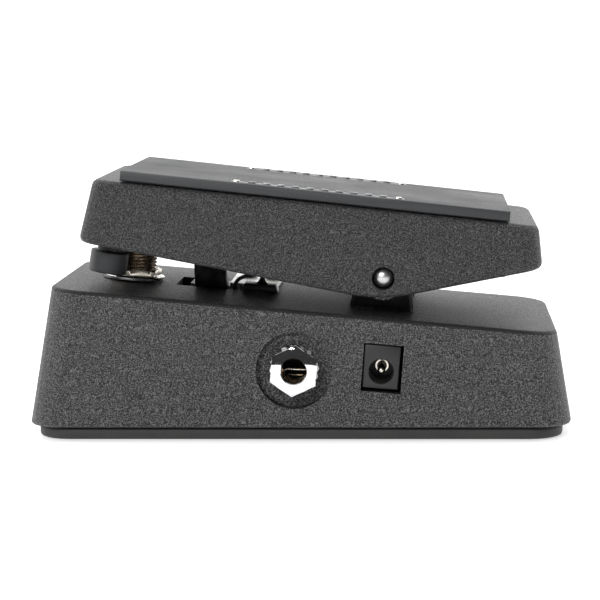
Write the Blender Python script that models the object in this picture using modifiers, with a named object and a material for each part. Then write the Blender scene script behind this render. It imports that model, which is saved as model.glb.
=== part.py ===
"""A compact rocker effects pedal: a hinged treadle turns a potentiometer through a gear sector.

Metres. +X runs from the toe to the heel, +Y from the output jack to the input jack, +Z is up.
The origin is on the floor, under the middle of the casing. The treadle is at rest near its toe stop.
"""

import math

import bmesh
import bpy
from mathutils import Matrix, Vector

MM = 0.001
GAP = 0.3 * MM  # left between pieces that touch
ROUND = 24  # sides of a round piece
SMALL_ROUND = 12

# Casing: a drafted box, open below, with a sloping deck
CASING_LENGTH = 136.7 * MM
CASING_WIDTH = 72.6 * MM
CASING_BOTTOM = 3.3 * MM
CASING_EDGE = 0.9 * MM
DECK_TOE = Vector((-62.6, 0, 38.29)) * MM
DECK_HEEL_X = 64.7 * MM
DECK_TILT = math.radians(5.27)
CASING_DRAFT = math.radians(5.0)
WALL = 2.8 * MM
CORNER_RADIUS = 8.5 * MM
PLATE_CORNER = 5.5 * MM
PLATE_SIZE = (130.6 * MM, 67.6 * MM)
PLATE_THICKNESS = 1.2 * MM
SOLE_SIZE = (132.6 * MM, 68.6 * MM)
SOLE_THICKNESS = 3.0 * MM

# Treadle, in its own frame: x along its top towards the heel, z off its top, origin on the hinge
HINGE = Vector((21.5, 0, 40.0)) * MM
TREADLE_TILT = math.radians(6.43)
TREADLE_TOP = 16.8 * MM
TREADLE_TOP_WIDTH = 57.2 * MM
TREADLE_TOE_X = -75.3 * MM
TREADLE_HEEL_X = 37.1 * MM
TREADLE_TOE_LOW = (-77.3 * MM, 0.9 * MM)
TREADLE_KNEE = (-0.2 * MM, -5.6 * MM)
TREADLE_HEEL_LOW = (39.2 * MM, 6.4 * MM)
TREADLE_DRAFT = math.radians(8.0)
TREADLE_EDGE = 1.5 * MM
TREADLE_WALL = 2.6 * MM
PAD_THICKNESS = 2.6 * MM
PAD_WIDTH = 55.6 * MM
PAD_TOE_X = -68.2 * MM
PAD_HEEL_X = 29.6 * MM

# Two narrow inlaid strips near the pad's long edges, each with a row of raised dashes
STRIP_X = (-40.9 * MM, 3.2 * MM)
STRIP_Y = 23.6 * MM
STRIP_WIDTH = 3.2 * MM
STRIP_DEPTH = 1.0 * MM
STRIP_DASHES = 12
DASH_HEIGHT = 0.3 * MM

# Gear sector on the treadle, and the pinion that it turns
MODULE = 0.6 * MM
SECTOR_TEETH_IN_CIRCLE = 166
PINION_TEETH = 14
SECTOR_PITCH_RADIUS = MODULE * SECTOR_TEETH_IN_CIRCLE / 2
PINION_PITCH_RADIUS = MODULE * PINION_TEETH / 2
SECTOR_INNER_RADIUS = 41.9 * MM
SECTOR_Y = (-4.0 * MM, 0.0 * MM)
SECTOR_TOP_ANGLE = math.radians(160)
SECTOR_SCREW_RADIUS = 46.1 * MM
SECTOR_SCREW_ANGLES = (163.5, 170.0)
PINION_Z = 22.0 * MM
PINION_Y = (-4.5 * MM, 0.5 * MM)
PRESSURE_ANGLE = math.radians(20)
TOOTH_SHARE = 0.37  # a tooth's thickness at the pitch line, as a share of the pitch

# Toe bumpers: they lean a little more than the treadle does
BUMPER_TOP = Vector((-70.8, 14.4, -2.35)) * MM
BUMPER_HEIGHT = 5.5 * MM
BUMPER_LEAN = math.radians(3.5)
BUMPER_DOWN = Vector((-math.sin(BUMPER_LEAN), 0, -math.cos(BUMPER_LEAN)))

# Hinge
AXLE_RADIUS = 2.45 * MM
AXLE_HALF_LENGTH = 30.2 * MM
EAR_X = (11.6 * MM, 29.1 * MM)
EAR_Y = (12.0 * MM, 19.0 * MM)
EAR_FOOT = 27.5 * MM
EAR_CHAMFER = 0.8 * MM

# Sockets
JACK = Vector((-0.75, 0, 17.6)) * MM
JACK_BORE = 6.35 * MM
JACK_RECESS = 19.1 * MM
JACK_FLOOR = 32.6  # the recess floor, in millimetres from the middle plane
JACK_NUT_FLATS = 11.4 * MM
DC = Vector((21.0, 0, 18.3)) * MM
DC_SIZE = (9.0 * MM, 11.0 * MM)
DC_FACE_Y = -34.4 * MM
DC_DEPTH = 14.0 * MM
DC_TILT = math.radians(4.74)
DC_HOLE_DROP = 1.1 * MM  # the hole's centre lies this far below the middle of the face

# Footswitch, in the deck's frame
SWITCH_X = -45.4 * MM
SWITCH_WASHER_RADIUS = 8.1  # in millimetres
SWITCH_WASHER_Z = (0.3, 1.15)  # in millimetres above the deck
SWITCH_NUT_Z = (1.45, 3.2)
SWITCH_NUT_FLATS = 13.3 * MM
SWITCH_NUT_TURN = math.radians(20)
BUSHING_BORE = 6.2  # of the nuts and the washer, in millimetres

# Circuit board, slung under the deck
BOARD_TOP = -4.9 * MM
BOARD_THICKNESS = 1.6 * MM
BOARD_SCREWS = ((-10.5, 0.0), (35.5, 8.0))  # millimetres, in the deck's frame
BRACKET_SCREW_Y = 17.5 * MM
BRACKET_TOP = 8.8 * MM

# Small fittings on the deck beside the slot, in the deck's frame
SLOT_X = (-33.5, -19.1)
DECK_PLATE_LOW = (-19.8, 0.5, 0.3)
DECK_PLATE_HIGH = (-7.0, 22.5, 1.1)
DECK_PLATE_SCREWS = ((-16.2, 19.0), (-9.8, 19.0))
CLIP_TOP_X = (-15.6, -7.4)
CLIP_Y = (-6.2, -0.1)
CLIP_Z = (0.3, 2.0)
CLIP_STEM = (-11.2, -2.6)
LEAD_HOLE = (-18.2 * MM, -3.0 * MM)
LEAD_RADIUS = 0.5 * MM


# ---------------------------------------------------------------- scene and helpers


def clear_scene():
    for obj in list(bpy.data.objects):
        bpy.data.objects.remove(obj, do_unlink=True)


def new_collection(name):
    collection = bpy.data.collections.new(name)
    bpy.context.scene.collection.children.link(collection)
    return collection


clear_scene()
PARTS = new_collection("rocker_pedal")
CUTTERS = new_collection("cutters")


def material(name, colour, roughness, metallic=0.0):
    made = bpy.data.materials.new(name)
    made.use_nodes = True
    shader = made.node_tree.nodes["Principled BSDF"]
    shader.inputs["Base Color"].default_value = (*colour, 1.0)
    shader.inputs["Roughness"].default_value = roughness
    shader.inputs["Metallic"].default_value = metallic
    made.diffuse_color = (*colour, 1.0)
    return made


POWDER = material("powder_coat", (0.035, 0.035, 0.037), 0.6)
RUBBER = material("black_rubber", (0.022, 0.022, 0.023), 0.75)
BLACK_PLASTIC = material("black_plastic", (0.018, 0.018, 0.018), 0.4)
BLACK_STEEL = material("blackened_steel", (0.03, 0.03, 0.03), 0.45, 0.8)
ZINC = material("zinc_plated_steel", (0.62, 0.62, 0.6), 0.35, 1.0)
CHROME = material("chrome", (0.8, 0.8, 0.81), 0.08, 1.0)
NICKEL = material("nickel_silver", (0.66, 0.62, 0.55), 0.25, 1.0)
BRASS = material("brass", (0.65, 0.5, 0.25), 0.35, 1.0)
NYLON = material("natural_nylon", (0.75, 0.73, 0.66), 0.5)
BOARD_GREEN = material("circuit_board_green", (0.03, 0.16, 0.07), 0.45)
RED_CAN = material("red_enamel", (0.45, 0.03, 0.02), 0.35)
BLUE_SLEEVE = material("blue_sleeve", (0.03, 0.07, 0.25), 0.4)
SATIN_STRIP = material("satin_strip", (0.05, 0.05, 0.052), 0.3)


def mm(x, y, z):
    """A point given in millimetres."""
    return Vector((x, y, z)) * MM


def frame_empty(name, location, tilt=0.0):
    """An empty whose axes are the world's, tilted about +Y."""
    empty = bpy.data.objects.new(name, None)
    empty.location = location
    empty.rotation_euler = (0.0, tilt, 0.0)
    empty.empty_display_size = 0.01
    PARTS.objects.link(empty)
    return empty


def link(name, mesh, look, parent):
    """A visible part, or a hidden cutter when it has no look."""
    obj = bpy.data.objects.new(name, mesh)
    obj.parent = parent
    if look is None:
        CUTTERS.objects.link(obj)
        obj.hide_render = True
        obj.display_type = "WIRE"
    else:
        PARTS.objects.link(obj)
        mesh.materials.append(look)
    return obj


def from_bmesh(name, bm, look, parent, smooth=False):
    bmesh.ops.recalc_face_normals(bm, faces=bm.faces)
    mesh = bpy.data.meshes.new(name)
    bm.to_mesh(mesh)
    bm.free()
    if smooth:
        mesh.shade_smooth()
        mesh.set_sharp_from_angle(angle=math.radians(35))
    return link(name, mesh, look, parent)


def block(name, low, high, look, parent, turn=0.0):
    """A box between two corners in millimetres, turned about the +Y line through its middle."""
    low = Vector(low) * MM
    high = Vector(high) * MM
    bm = bmesh.new()
    bmesh.ops.create_cube(bm, size=1.0)
    bmesh.ops.scale(bm, vec=high - low, verts=bm.verts)
    bmesh.ops.rotate(bm, matrix=Matrix.Rotation(turn, 3, "Y"), verts=bm.verts)
    bmesh.ops.translate(bm, vec=(low + high) / 2, verts=bm.verts)
    return from_bmesh(name, bm, look, parent)


def rod(name, start, end, radius, look, parent, sides=ROUND, spin=0.0):
    """A cylinder or prism between two points, in metres, with its first corner turned by spin."""
    start = Vector(start)
    end = Vector(end)
    along = end - start
    bm = bmesh.new()
    bmesh.ops.create_cone(
        bm,
        cap_ends=True,
        segments=sides,
        radius1=radius,
        radius2=radius,
        depth=along.length,
    )
    bmesh.ops.rotate(bm, matrix=Matrix.Rotation(spin, 3, "Z"), verts=bm.verts)
    facing = along.to_track_quat("Z", "Y").to_matrix()
    bmesh.ops.rotate(bm, matrix=facing, verts=bm.verts)
    bmesh.ops.translate(bm, vec=(start + end) / 2, verts=bm.verts)
    return from_bmesh(name, bm, look, parent, smooth=sides >= SMALL_ROUND)


def turned(name, profile, start, axis, look, parent, sides=ROUND):
    """A solid of revolution: profile holds (distance along axis, radius) pairs in millimetres."""
    bm = bmesh.new()
    points = [bm.verts.new((radius * MM, 0, along * MM)) for along, radius in reversed(profile)]
    for first, second in zip(points, points[1:]):
        bm.edges.new((first, second))
    mesh = bpy.data.meshes.new(name)
    bm.to_mesh(mesh)
    bm.free()
    obj = link(name, mesh, look, parent)
    obj.location = start
    obj.rotation_mode = "QUATERNION"
    obj.rotation_quaternion = Vector(axis).to_track_quat("Z", "Y")
    screw = obj.modifiers.new("turn", "SCREW")
    screw.axis = "Z"
    screw.steps = sides
    screw.render_steps = sides
    screw.use_merge_vertices = True
    screw.merge_threshold = 0.00001
    screw.use_smooth_shade = True
    return obj


def prism(name, outline, y_low, y_high, look, parent):
    """An outline in the XZ plane, as (x, z) pairs in metres, extruded along Y."""
    bm = bmesh.new()
    corners = [bm.verts.new((x, y_low, z)) for x, z in outline]
    face = bm.faces.new(corners)
    grown = bmesh.ops.extrude_face_region(bm, geom=[face])["geom"]
    moved = [item for item in grown if isinstance(item, bmesh.types.BMVert)]
    bmesh.ops.translate(bm, vec=(0, y_high - y_low, 0), verts=moved)
    return from_bmesh(name, bm, look, parent)


def boolean(target, other, operation):
    other.hide_render = True
    other.display_type = "WIRE"
    if other.name in PARTS.objects:
        PARTS.objects.unlink(other)
        CUTTERS.objects.link(other)
    modifier = target.modifiers.new(other.name, "BOOLEAN")
    modifier.operation = operation
    modifier.solver = "EXACT"
    modifier.object = other


def cut(target, *others):
    for other in others:
        boolean(target, other, "DIFFERENCE")


def drill(target, name, start, end, radius, parent=None, sides=SMALL_ROUND):
    """Cuts a round hole through the target between two points."""
    cut(target, rod(name, start, end, radius, None, parent, sides))


def join(target, *others):
    for other in others:
        boolean(target, other, "UNION")


def round_edges(obj, radius, segments=2, angle=40):
    bevel = obj.modifiers.new("round", "BEVEL")
    bevel.width = radius
    bevel.segments = segments
    bevel.limit_method = "ANGLE"
    bevel.angle_limit = math.radians(angle)


def bevel_where(obj, chosen, radius, segments):
    """Rounds the edges for which chosen(edge) is true."""
    bm = bmesh.new()
    bm.from_mesh(obj.data)
    edges = [edge for edge in bm.edges if chosen(edge)]
    bmesh.ops.bevel(bm, geom=edges, offset=radius, segments=segments, profile=0.5, affect="EDGES")
    bm.to_mesh(obj.data)
    bm.free()


def stands(edge):
    """True of an edge that runs up and down."""
    first, second = (vert.co for vert in edge.verts)
    return abs(first.z - second.z) > 0.9 * (first - second).length


def polar(radius, angle):
    return radius * math.cos(angle), radius * math.sin(angle)


def arc(radius, first, last, count):
    """Points on an arc about the origin, ends included."""
    return [polar(radius, first + (last - first) * i / (count - 1)) for i in range(count)]


# ---------------------------------------------------------------- frames

DECK_ORIGIN = Vector((0, 0, DECK_TOE.z + DECK_TOE.x * math.tan(DECK_TILT)))
DECK = frame_empty("deck_frame", DECK_ORIGIN, DECK_TILT)
TREADLE = frame_empty("treadle_axis", HINGE, TREADLE_TILT)
SWITCH = frame_empty("plunger_axis", DECK_ORIGIN, DECK_TILT)
PINION_DISTANCE = SECTOR_PITCH_RADIUS + PINION_PITCH_RADIUS
PINION_ANGLE = math.pi + math.asin((HINGE.z - PINION_Z) / PINION_DISTANCE)
PINION_CENTRE = HINGE + PINION_DISTANCE * Vector((math.cos(PINION_ANGLE), 0, math.sin(PINION_ANGLE)))
PINION = frame_empty("pinion_axis", PINION_CENTRE)


def in_deck(point):
    """A world point, in metres, in the deck's own frame."""
    return Matrix.Rotation(-DECK_TILT, 3, "Y") @ (Vector(point) - DECK_ORIGIN)


PINION_IN_DECK = in_deck(PINION_CENTRE)
BRACKET_POST = (PINION_IN_DECK.x / MM, BRACKET_SCREW_Y / MM, (PINION_IN_DECK.z + BRACKET_TOP) / MM)


# ---------------------------------------------------------------- casing


def drafted_box(name, bottom, inset, corner_radius, look):
    """The casing's outer form, shrunk by inset on every side but the bottom."""
    toe_top = DECK_TOE.z - inset / math.cos(DECK_TILT)
    half_length = CASING_LENGTH / 2
    bm = bmesh.new()
    bmesh.ops.create_cube(bm, size=2.0)
    for vert in bm.verts:
        end = math.copysign(1.0, vert.co.x)
        side = math.copysign(1.0, vert.co.y)
        top_x = DECK_HEEL_X if end > 0 else DECK_TOE.x
        top_z = toe_top - (top_x - DECK_TOE.x) * math.tan(DECK_TILT)
        slope = (abs(top_x) - half_length) / (top_z - CASING_BOTTOM)
        z = top_z if vert.co.z > 0 else bottom
        run = half_length + slope * (z - CASING_BOTTOM) - inset
        reach = CASING_WIDTH / 2 - (z - CASING_BOTTOM) * math.tan(CASING_DRAFT) - inset
        vert.co = Vector((end * run, side * reach, z))
    upright = [edge for edge in bm.edges if stands(edge)]
    bmesh.ops.bevel(bm, geom=upright, offset=corner_radius, segments=5, profile=0.5, affect="EDGES")
    return from_bmesh(name, bm, look, None)


def casing_corner_bosses():
    """The four screw bosses, as (name, x, y)."""
    return [
        (f"{end}_{side}", x * MM, y * MM)
        for end, x in (("toe", -58.0), ("heel", 58.5))
        for side, y in (("near", -27.0), ("far", 27.0))
    ]


def hinge_ear(casing, side):
    """One of the two cast ears that carry the axle."""
    outline = [(x, EAR_FOOT) for x in EAR_X]
    crown = arc(6.6 * MM, math.radians(12), math.radians(165), 9)
    outline += [(HINGE.x + x, HINGE.z + z) for x, z in crown]
    y_low, y_high = sorted((side * EAR_Y[0], side * EAR_Y[1]))
    ear = prism(f"ear_{side}", outline, y_low, y_high, None, None)
    bevel_where(ear, stands, EAR_CHAMFER, 1)
    join(casing, ear)
    start = HINGE + mm(0, side * 11, 0)
    end = HINGE + mm(0, side * 20, 0)
    drill(casing, f"ear_hole_{side}", start, end, 4.3 * MM, sides=ROUND)


def jack_recess(casing, side):
    """A round pocket with an upright floor, backed by a boss inside the drafted wall."""
    centre = Vector((JACK.x, 0, JACK.z))

    def at(y):
        return centre + Vector((0, side * y * MM, 0))

    join(casing, rod(f"jack_boss_{side}", at(29.8), at(33.4), 11.6 * MM, None, None))
    drill(casing, f"jack_pocket_{side}", at(JACK_FLOOR), at(38), JACK_RECESS / 2, sides=36)
    drill(casing, f"jack_hole_{side}", at(28), at(34), 4.8 * MM, sides=ROUND)


def dc_window(casing):
    """The opening round the DC socket; its gaps are wider below and on the heel side."""
    half_width, half_height = (size / MM / 2 for size in DC_SIZE)
    x = DC.x / MM
    z = DC.z / MM
    low = (x - half_width - 0.25, -38, z - half_height - 0.7)
    high = (x + half_width + 0.7, -27, z + half_height + 0.25)
    cut(casing, block("dc_window", low, high, None, None, turn=DC_TILT))


def casing_screw_bosses(casing):
    """Bosses from the deck down to the base plate, with pilot holes for its screws."""
    for name, x, y in casing_corner_bosses():
        top = Vector((x, y, (22.5 if x > 0 else 32.0) * MM))
        join(casing, rod(f"boss_{name}", (x, y, 4.9 * MM), top, 3.8 * MM, None, None, SMALL_ROUND))
        drill(casing, f"hole_{name}", (x, y, 2 * MM), (x, y, 15.5 * MM), 1.8 * MM)


def deck_posts(casing):
    """Short posts under the deck for the board's screws and the bracket's."""
    posts = [(x, y, BOARD_TOP / MM) for x, y in BOARD_SCREWS]
    posts.append(BRACKET_POST)
    for number, (x, y, bottom) in enumerate(posts, 1):
        start = mm(x, y, -0.6)
        end = mm(x, y, bottom) + Vector((0, 0, GAP))
        join(casing, rod(f"post_{number}", start, end, 2.6 * MM, None, DECK, SMALL_ROUND))
        drill(casing, f"post_hole_{number}", mm(x, y, -1), mm(x, y, -8), 1.5 * MM, DECK)


def deck_holes(casing):
    """Holes through the deck for the footswitch, the sector and the small fittings."""
    start = Vector((SWITCH_X, 0, -9 * MM))
    end = Vector((SWITCH_X, 0, 5 * MM))
    drill(casing, "switch_hole", start, end, 6.3 * MM, DECK, ROUND)
    slot_low = (SLOT_X[0], -5.2, -9)
    slot_high = (SLOT_X[1], 12.4, 5)
    cut(casing, block("sector_slot", slot_low, slot_high, None, DECK))
    for number, (x, y) in enumerate(DECK_PLATE_SCREWS, 1):
        drill(casing, f"plate_hole_{number}", mm(x, y, -5), mm(x, y, 3), 1.4 * MM, DECK)
    x, y = LEAD_HOLE
    drill(casing, "lead_hole", (x, y, -6 * MM), (x, y, 4 * MM), LEAD_RADIUS + GAP, DECK)


def make_casing():
    casing = drafted_box("casing", CASING_BOTTOM, 0.0, CORNER_RADIUS, POWDER)
    round_edges(casing, CASING_EDGE, 3)
    cavity = drafted_box("cavity", CASING_BOTTOM - 3 * MM, WALL, 3.5 * MM, None)
    cut(casing, cavity)
    half_length, half_width = (size / MM / 2 + 0.3 for size in PLATE_SIZE)
    rabbet = block("rabbet", (-half_length, -half_width, 1), (half_length, half_width, 4.8), None, None)
    bevel_where(rabbet, stands, PLATE_CORNER, 5)
    cut(casing, rabbet)
    casing_screw_bosses(casing)
    deck_posts(casing)
    for side in (-1, 1):
        hinge_ear(casing, side)
        jack_recess(casing, side)
    dc_window(casing)
    deck_holes(casing)


def pan_screw(name, head_face, direction, length, look, parent, head=2.9, shank=1.4, thickness=1.6):
    """A pan-head screw with a drive recess; direction points from its head to its tip."""
    profile = [
        (0.0, 0.0),
        (0.0, head - 0.7),
        (0.4, head - 0.2),
        (0.8, head),
        (thickness, head),
        (thickness, shank),
        (length - 0.8, shank),
        (length, shank - 0.6),
        (length, 0.0),
    ]
    screw = turned(name, profile, head_face, direction, look, parent, SMALL_ROUND)
    along = Vector(direction).normalized()
    start = Vector(head_face) - along * MM
    end = Vector(head_face) + along * 0.8 * MM
    drill(screw, name + "_drive", start, end, 1.1 * MM, parent, 6)


def make_bottom():
    half_length, half_width = (size / MM / 2 for size in PLATE_SIZE)
    low = CASING_BOTTOM / MM
    high = low + PLATE_THICKNESS / MM
    plate = block("base_plate", (-half_length, -half_width, low), (half_length, half_width, high), ZINC, None)
    half_length, half_width = (size / MM / 2 for size in SOLE_SIZE)
    high = SOLE_THICKNESS / MM
    sole = block("sole", (-half_length, -half_width, 0.0), (half_length, half_width, high), RUBBER, None)
    bevel_where(plate, stands, PLATE_CORNER, 5)
    bevel_where(sole, stands, CORNER_RADIUS, 6)
    round_edges(sole, 0.8 * MM, 2)
    for number, (name, x, y) in enumerate(casing_corner_bosses(), 1):
        drill(plate, f"plate_{name}", (x, y, 2 * MM), (x, y, 6 * MM), 1.9 * MM)
        drill(sole, f"sole_{name}", (x, y, -1 * MM), (x, y, 5 * MM), 4.2 * MM, sides=ROUND)
        pan_screw(f"base_screw_{number}", (x, y, 1.4 * MM), (0, 0, 1), 11.0, ZINC, None)


# ---------------------------------------------------------------- sockets


def make_jack(name, side):
    """An enclosed jack socket, its toothed washer, its hexagonal front nut and one contact spring."""
    frame = frame_empty(name + "_frame", JACK, DECK_TILT)

    def at(y):
        return mm(0, side * y, 0)

    low_y, high_y = sorted((side * 8.4, side * 29.4))
    body = block(name + "_body", (-8.0, low_y, -7.4), (8.0, high_y, 8.0), BLACK_PLASTIC, frame)
    join(body, rod(name + "_barrel", at(28), at(35.2), 4.4 * MM, None, frame))
    drill(body, name + "_bore", at(5), at(37), JACK_BORE / 2, frame, ROUND)
    jack_washer(name, at, side, frame)
    jack_nut(name, at, side, frame)
    strip_low, strip_high = sorted((side * 11.0, side * 26.0))
    block(name + "_contact", (-1.1, strip_low, 2.35), (1.1, strip_high, 2.65), NICKEL, frame)


def jack_washer(name, at, side, frame):
    """A thin washer in the recess, with notches round its rim."""
    ring = [(0.0, 4.8), (0.0, 6.7), (0.5, 6.7), (0.5, 4.8), (0.0, 4.8)]
    washer = turned(name + "_washer", ring, at(JACK_FLOOR + 0.3), (0, side, 0), ZINC, frame)
    for i in range(10):
        x, z = polar(6.9 * MM, 2 * math.pi * i / 10 + 0.2)
        across_rim = Vector((x, 0, z))
        start = at(JACK_FLOOR - 0.6) + across_rim
        end = at(JACK_FLOOR + 1.4) + across_rim
        drill(washer, f"{name}_notch_{i}", start, end, 0.8 * MM, frame, 6)


def jack_nut(name, at, side, frame):
    """A domed hexagonal nut that closes over the barrel's end."""
    corner = JACK_NUT_FLATS / 2 / math.cos(math.pi / 6)
    nut = rod(name + "_nut", at(33.7), at(36.9), corner, CHROME, frame, 6)
    flat = JACK_NUT_FLATS / MM / 2
    profile = [(0.0, 0.0), (0.0, flat + 1.6), (2.3, flat + 1.1), (3.2, flat), (3.2, 0.0)]
    dome = turned(name + "_nut_dome", profile, at(33.7), (0, side, 0), None, frame)
    boolean(nut, dome, "INTERSECT")
    drill(nut, name + "_thread", at(33), at(35.6), 4.7 * MM, frame, ROUND)
    drill(nut, name + "_mouth", at(33), at(38), JACK_BORE / 2, frame, ROUND)


def make_dc_jack():
    frame = frame_empty("dc_jack_frame", DC, DC_TILT)
    half_width, half_height = (size / MM / 2 for size in DC_SIZE)
    low = (-half_width, DC_FACE_Y / MM, -half_height)
    high = (half_width, (DC_FACE_Y + DC_DEPTH) / MM, half_height)
    body = block("dc_jack", low, high, BLACK_PLASTIC, frame)
    round_edges(body, 0.3 * MM, 1)

    def at(y):
        return Vector((0, DC_FACE_Y + y * MM, -DC_HOLE_DROP))

    drill(body, "dc_socket", at(-1), at(9), 3.1 * MM, frame, ROUND)
    drill(body, "dc_pin_hole", at(8), at(15), 1.4 * MM, frame)
    profile = [(1.6, 0.0), (1.6, 0.6), (2.0, 1.0), (16.0, 1.0), (16.0, 0.0)]
    turned("dc_jack_pin", profile, at(0), (0, 1, 0), NICKEL, frame, SMALL_ROUND)


# ---------------------------------------------------------------- footswitch


def make_footswitch():
    def at(z):
        return Vector((SWITCH_X, 0, z * MM))

    x = SWITCH_X / MM
    body = block("footswitch_body", (x - 8.6, -8.6, -20.0), (x + 8.6, 8.6, -6.6), BLACK_PLASTIC, DECK)
    thread = [(1.6 + 0.5 * i, 5.9 if i % 2 == 0 else 5.45) for i in range(15)]
    profile = [(-10.0, 0.0), (-10.0, 5.9)] + thread + [(9.2, 5.2), (9.2, 0.0)]
    join(body, turned("footswitch_bushing", profile, at(0), (0, 0, 1), None, DECK))
    drill(body, "plunger_bore", at(-16), at(12), 4.2 * MM, DECK, ROUND)
    footswitch_lugs(body, x)
    nut_low, nut_high = SWITCH_NUT_Z
    hex_nut("footswitch_nut", at(nut_low), at(nut_high), NICKEL)
    hex_nut("footswitch_inner_nut", at(-3.1), at(-5.1), ZINC)
    low, high = SWITCH_WASHER_Z
    edge = SWITCH_WASHER_RADIUS
    ring = [
        (low, BUSHING_BORE),
        (low, edge),
        (high - 0.1, edge),
        (high, edge - 0.1),
        (high, BUSHING_BORE),
        (low, BUSHING_BORE),
    ]
    turned("footswitch_washer", ring, at(0), (0, 0, 1), CHROME, DECK)
    profile = [(-10.0, 0.0), (-10.0, 4.1), (12.6, 4.1), (13.4, 3.7), (14.0, 2.4), (14.2, 0.0)]
    turned("footswitch_plunger", profile, at(0), (0, 0, 1), NICKEL, SWITCH)


def footswitch_lugs(body, x):
    """Six solder lugs under the switch's box."""
    for row in (-5.0, 0.0, 5.0):
        for column in (-5.2, 5.2):
            low = (x + row - 1.0, column - 0.3, -23.5)
            high = (x + row + 1.0, column + 0.3, -19.0)
            join(body, block(f"lug_{row:.0f}_{column:.0f}", low, high, None, DECK))


def hex_nut(name, start, end, look):
    """A chamfered hexagonal nut on the bushing's thread, between two points in the deck's frame."""
    corner = SWITCH_NUT_FLATS / 2 / math.cos(math.pi / 6)
    nut = rod(name, start, end, corner, look, DECK, 6, spin=SWITCH_NUT_TURN)
    height = (end - start).length / MM
    wide = corner / MM
    flat = SWITCH_NUT_FLATS / MM / 2
    profile = [(0.0, 0.0), (0.0, wide), (height - 0.6, wide + 0.02), (height, flat), (height, 0.0)]
    chamfer = turned(name + "_chamfer", profile, start, end - start, None, DECK)
    boolean(nut, chamfer, "INTERSECT")
    overrun = (end - start).normalized() * MM
    drill(nut, name + "_bore", start - overrun, end + overrun, BUSHING_BORE * MM, DECK, ROUND)


# ---------------------------------------------------------------- electronics


def hanging_can(name, x, y, radius, height, look, chamfer=0.5):
    """A round component under the board, in the deck's frame; sizes in millimetres."""
    top = BOARD_TOP / MM - BOARD_THICKNESS / MM - GAP / MM
    profile = [
        (0.0, 0.0),
        (0.0, radius),
        (height - chamfer, radius),
        (height, radius - chamfer),
        (height, 0.0),
    ]
    turned(name, profile, (x * MM, y * MM, top * MM), (0, 0, -1), look, DECK, SMALL_ROUND)


def make_board():
    bottom = BOARD_TOP / MM - BOARD_THICKNESS / MM
    low = (-14.0, -28.6, bottom)
    board = block("circuit_board", low, (38.0, 28.6, BOARD_TOP / MM), BOARD_GREEN, DECK)
    for number, (x, y) in enumerate(BOARD_SCREWS, 1):
        drill(board, f"board_hole_{number}", mm(x, y, -9), mm(x, y, -3), 1.8 * MM, DECK)
        head_face = mm(x, y, bottom - 1.9)
        pan_screw(f"board_screw_{number}", head_face, (0, 0, 1), 5.2, ZINC, DECK, head=2.6, shank=1.2)
    hanging_can("inductor", 27.0, 17.0, 7.0, 9.5, RED_CAN, 0.8)
    hanging_can("capacitor_1", 14.0, 3.0, 3.1, 9.0, BLUE_SLEEVE)
    hanging_can("capacitor_2", 22.5, 2.0, 2.6, 8.0, BLUE_SLEEVE)
    top = bottom - GAP / MM
    for number, (x, y) in enumerate(((30.0, -2.5), (14.2, 22.5)), 1):
        start = mm(x, y, top)
        end = mm(x, y, top - 4.6)
        package = rod(f"transistor_{number}", start, end, 2.3 * MM, BLACK_PLASTIC, DECK, SMALL_ROUND)
        low = (x - 4, y + 1.3, top - 6)
        high = (x + 4, y + 4, top + 1)
        cut(package, block(f"transistor_flat_{number}", low, high, None, DECK))


# ---------------------------------------------------------------- potentiometer and gears


def pinion_outline():
    """Involute teeth, with one tooth pointing at the hinge."""
    pitch = 2 * math.pi / PINION_TEETH
    base = PINION_PITCH_RADIUS * math.cos(PRESSURE_ANGLE)
    tip = PINION_PITCH_RADIUS + 0.8 * MODULE
    root = PINION_PITCH_RADIUS - 1.2 * MODULE
    towards_hinge = PINION_ANGLE - math.pi

    def involute(angle):
        return math.tan(angle) - angle

    def half_width(radius):
        turn = math.acos(min(1.0, base / radius))
        return pitch * TOOTH_SHARE / 2 + involute(PRESSURE_ANGLE) - involute(turn)

    flank = [(root, half_width(base) + 0.01), (base, half_width(base))]
    flank += [(radius, half_width(radius)) for radius in (PINION_PITCH_RADIUS, tip)]
    points = []
    for tooth in range(PINION_TEETH):
        middle = towards_hinge + tooth * pitch
        points += [polar(radius, middle - half) for radius, half in flank]
        points += [polar(radius, middle + half) for radius, half in reversed(flank)]
    return points


def sector_outline():
    """The toothed arc, its smooth upper arm and its inner edge, about the hinge, at world angles."""
    pitch = 2 * math.pi / SECTOR_TEETH_IN_CIRCLE
    tip = SECTOR_PITCH_RADIUS + 0.6 * MODULE
    root = SECTOR_PITCH_RADIUS - 1.2 * MODULE
    lean = math.tan(PRESSURE_ANGLE) / SECTOR_PITCH_RADIUS
    tip_half = pitch * TOOTH_SHARE / 2 - lean * (tip - SECTOR_PITCH_RADIUS)
    root_half = pitch * TOOTH_SHARE / 2 + lean * (SECTOR_PITCH_RADIUS - root)
    first_tooth, last_tooth = -3, 10
    points = arc(tip, SECTOR_TOP_ANGLE, PINION_ANGLE + (first_tooth - 1) * pitch, 12)
    for tooth in range(first_tooth, last_tooth):
        middle = PINION_ANGLE + (tooth + 0.5) * pitch
        points += [polar(root, middle - root_half), polar(tip, middle - tip_half)]
        points += [polar(tip, middle + tip_half), polar(root, middle + root_half)]
    end = PINION_ANGLE + (last_tooth + 0.4) * pitch
    points.append(polar(root, end))
    points += arc(SECTOR_INNER_RADIUS, end, SECTOR_TOP_ANGLE, 14)
    return points


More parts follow.
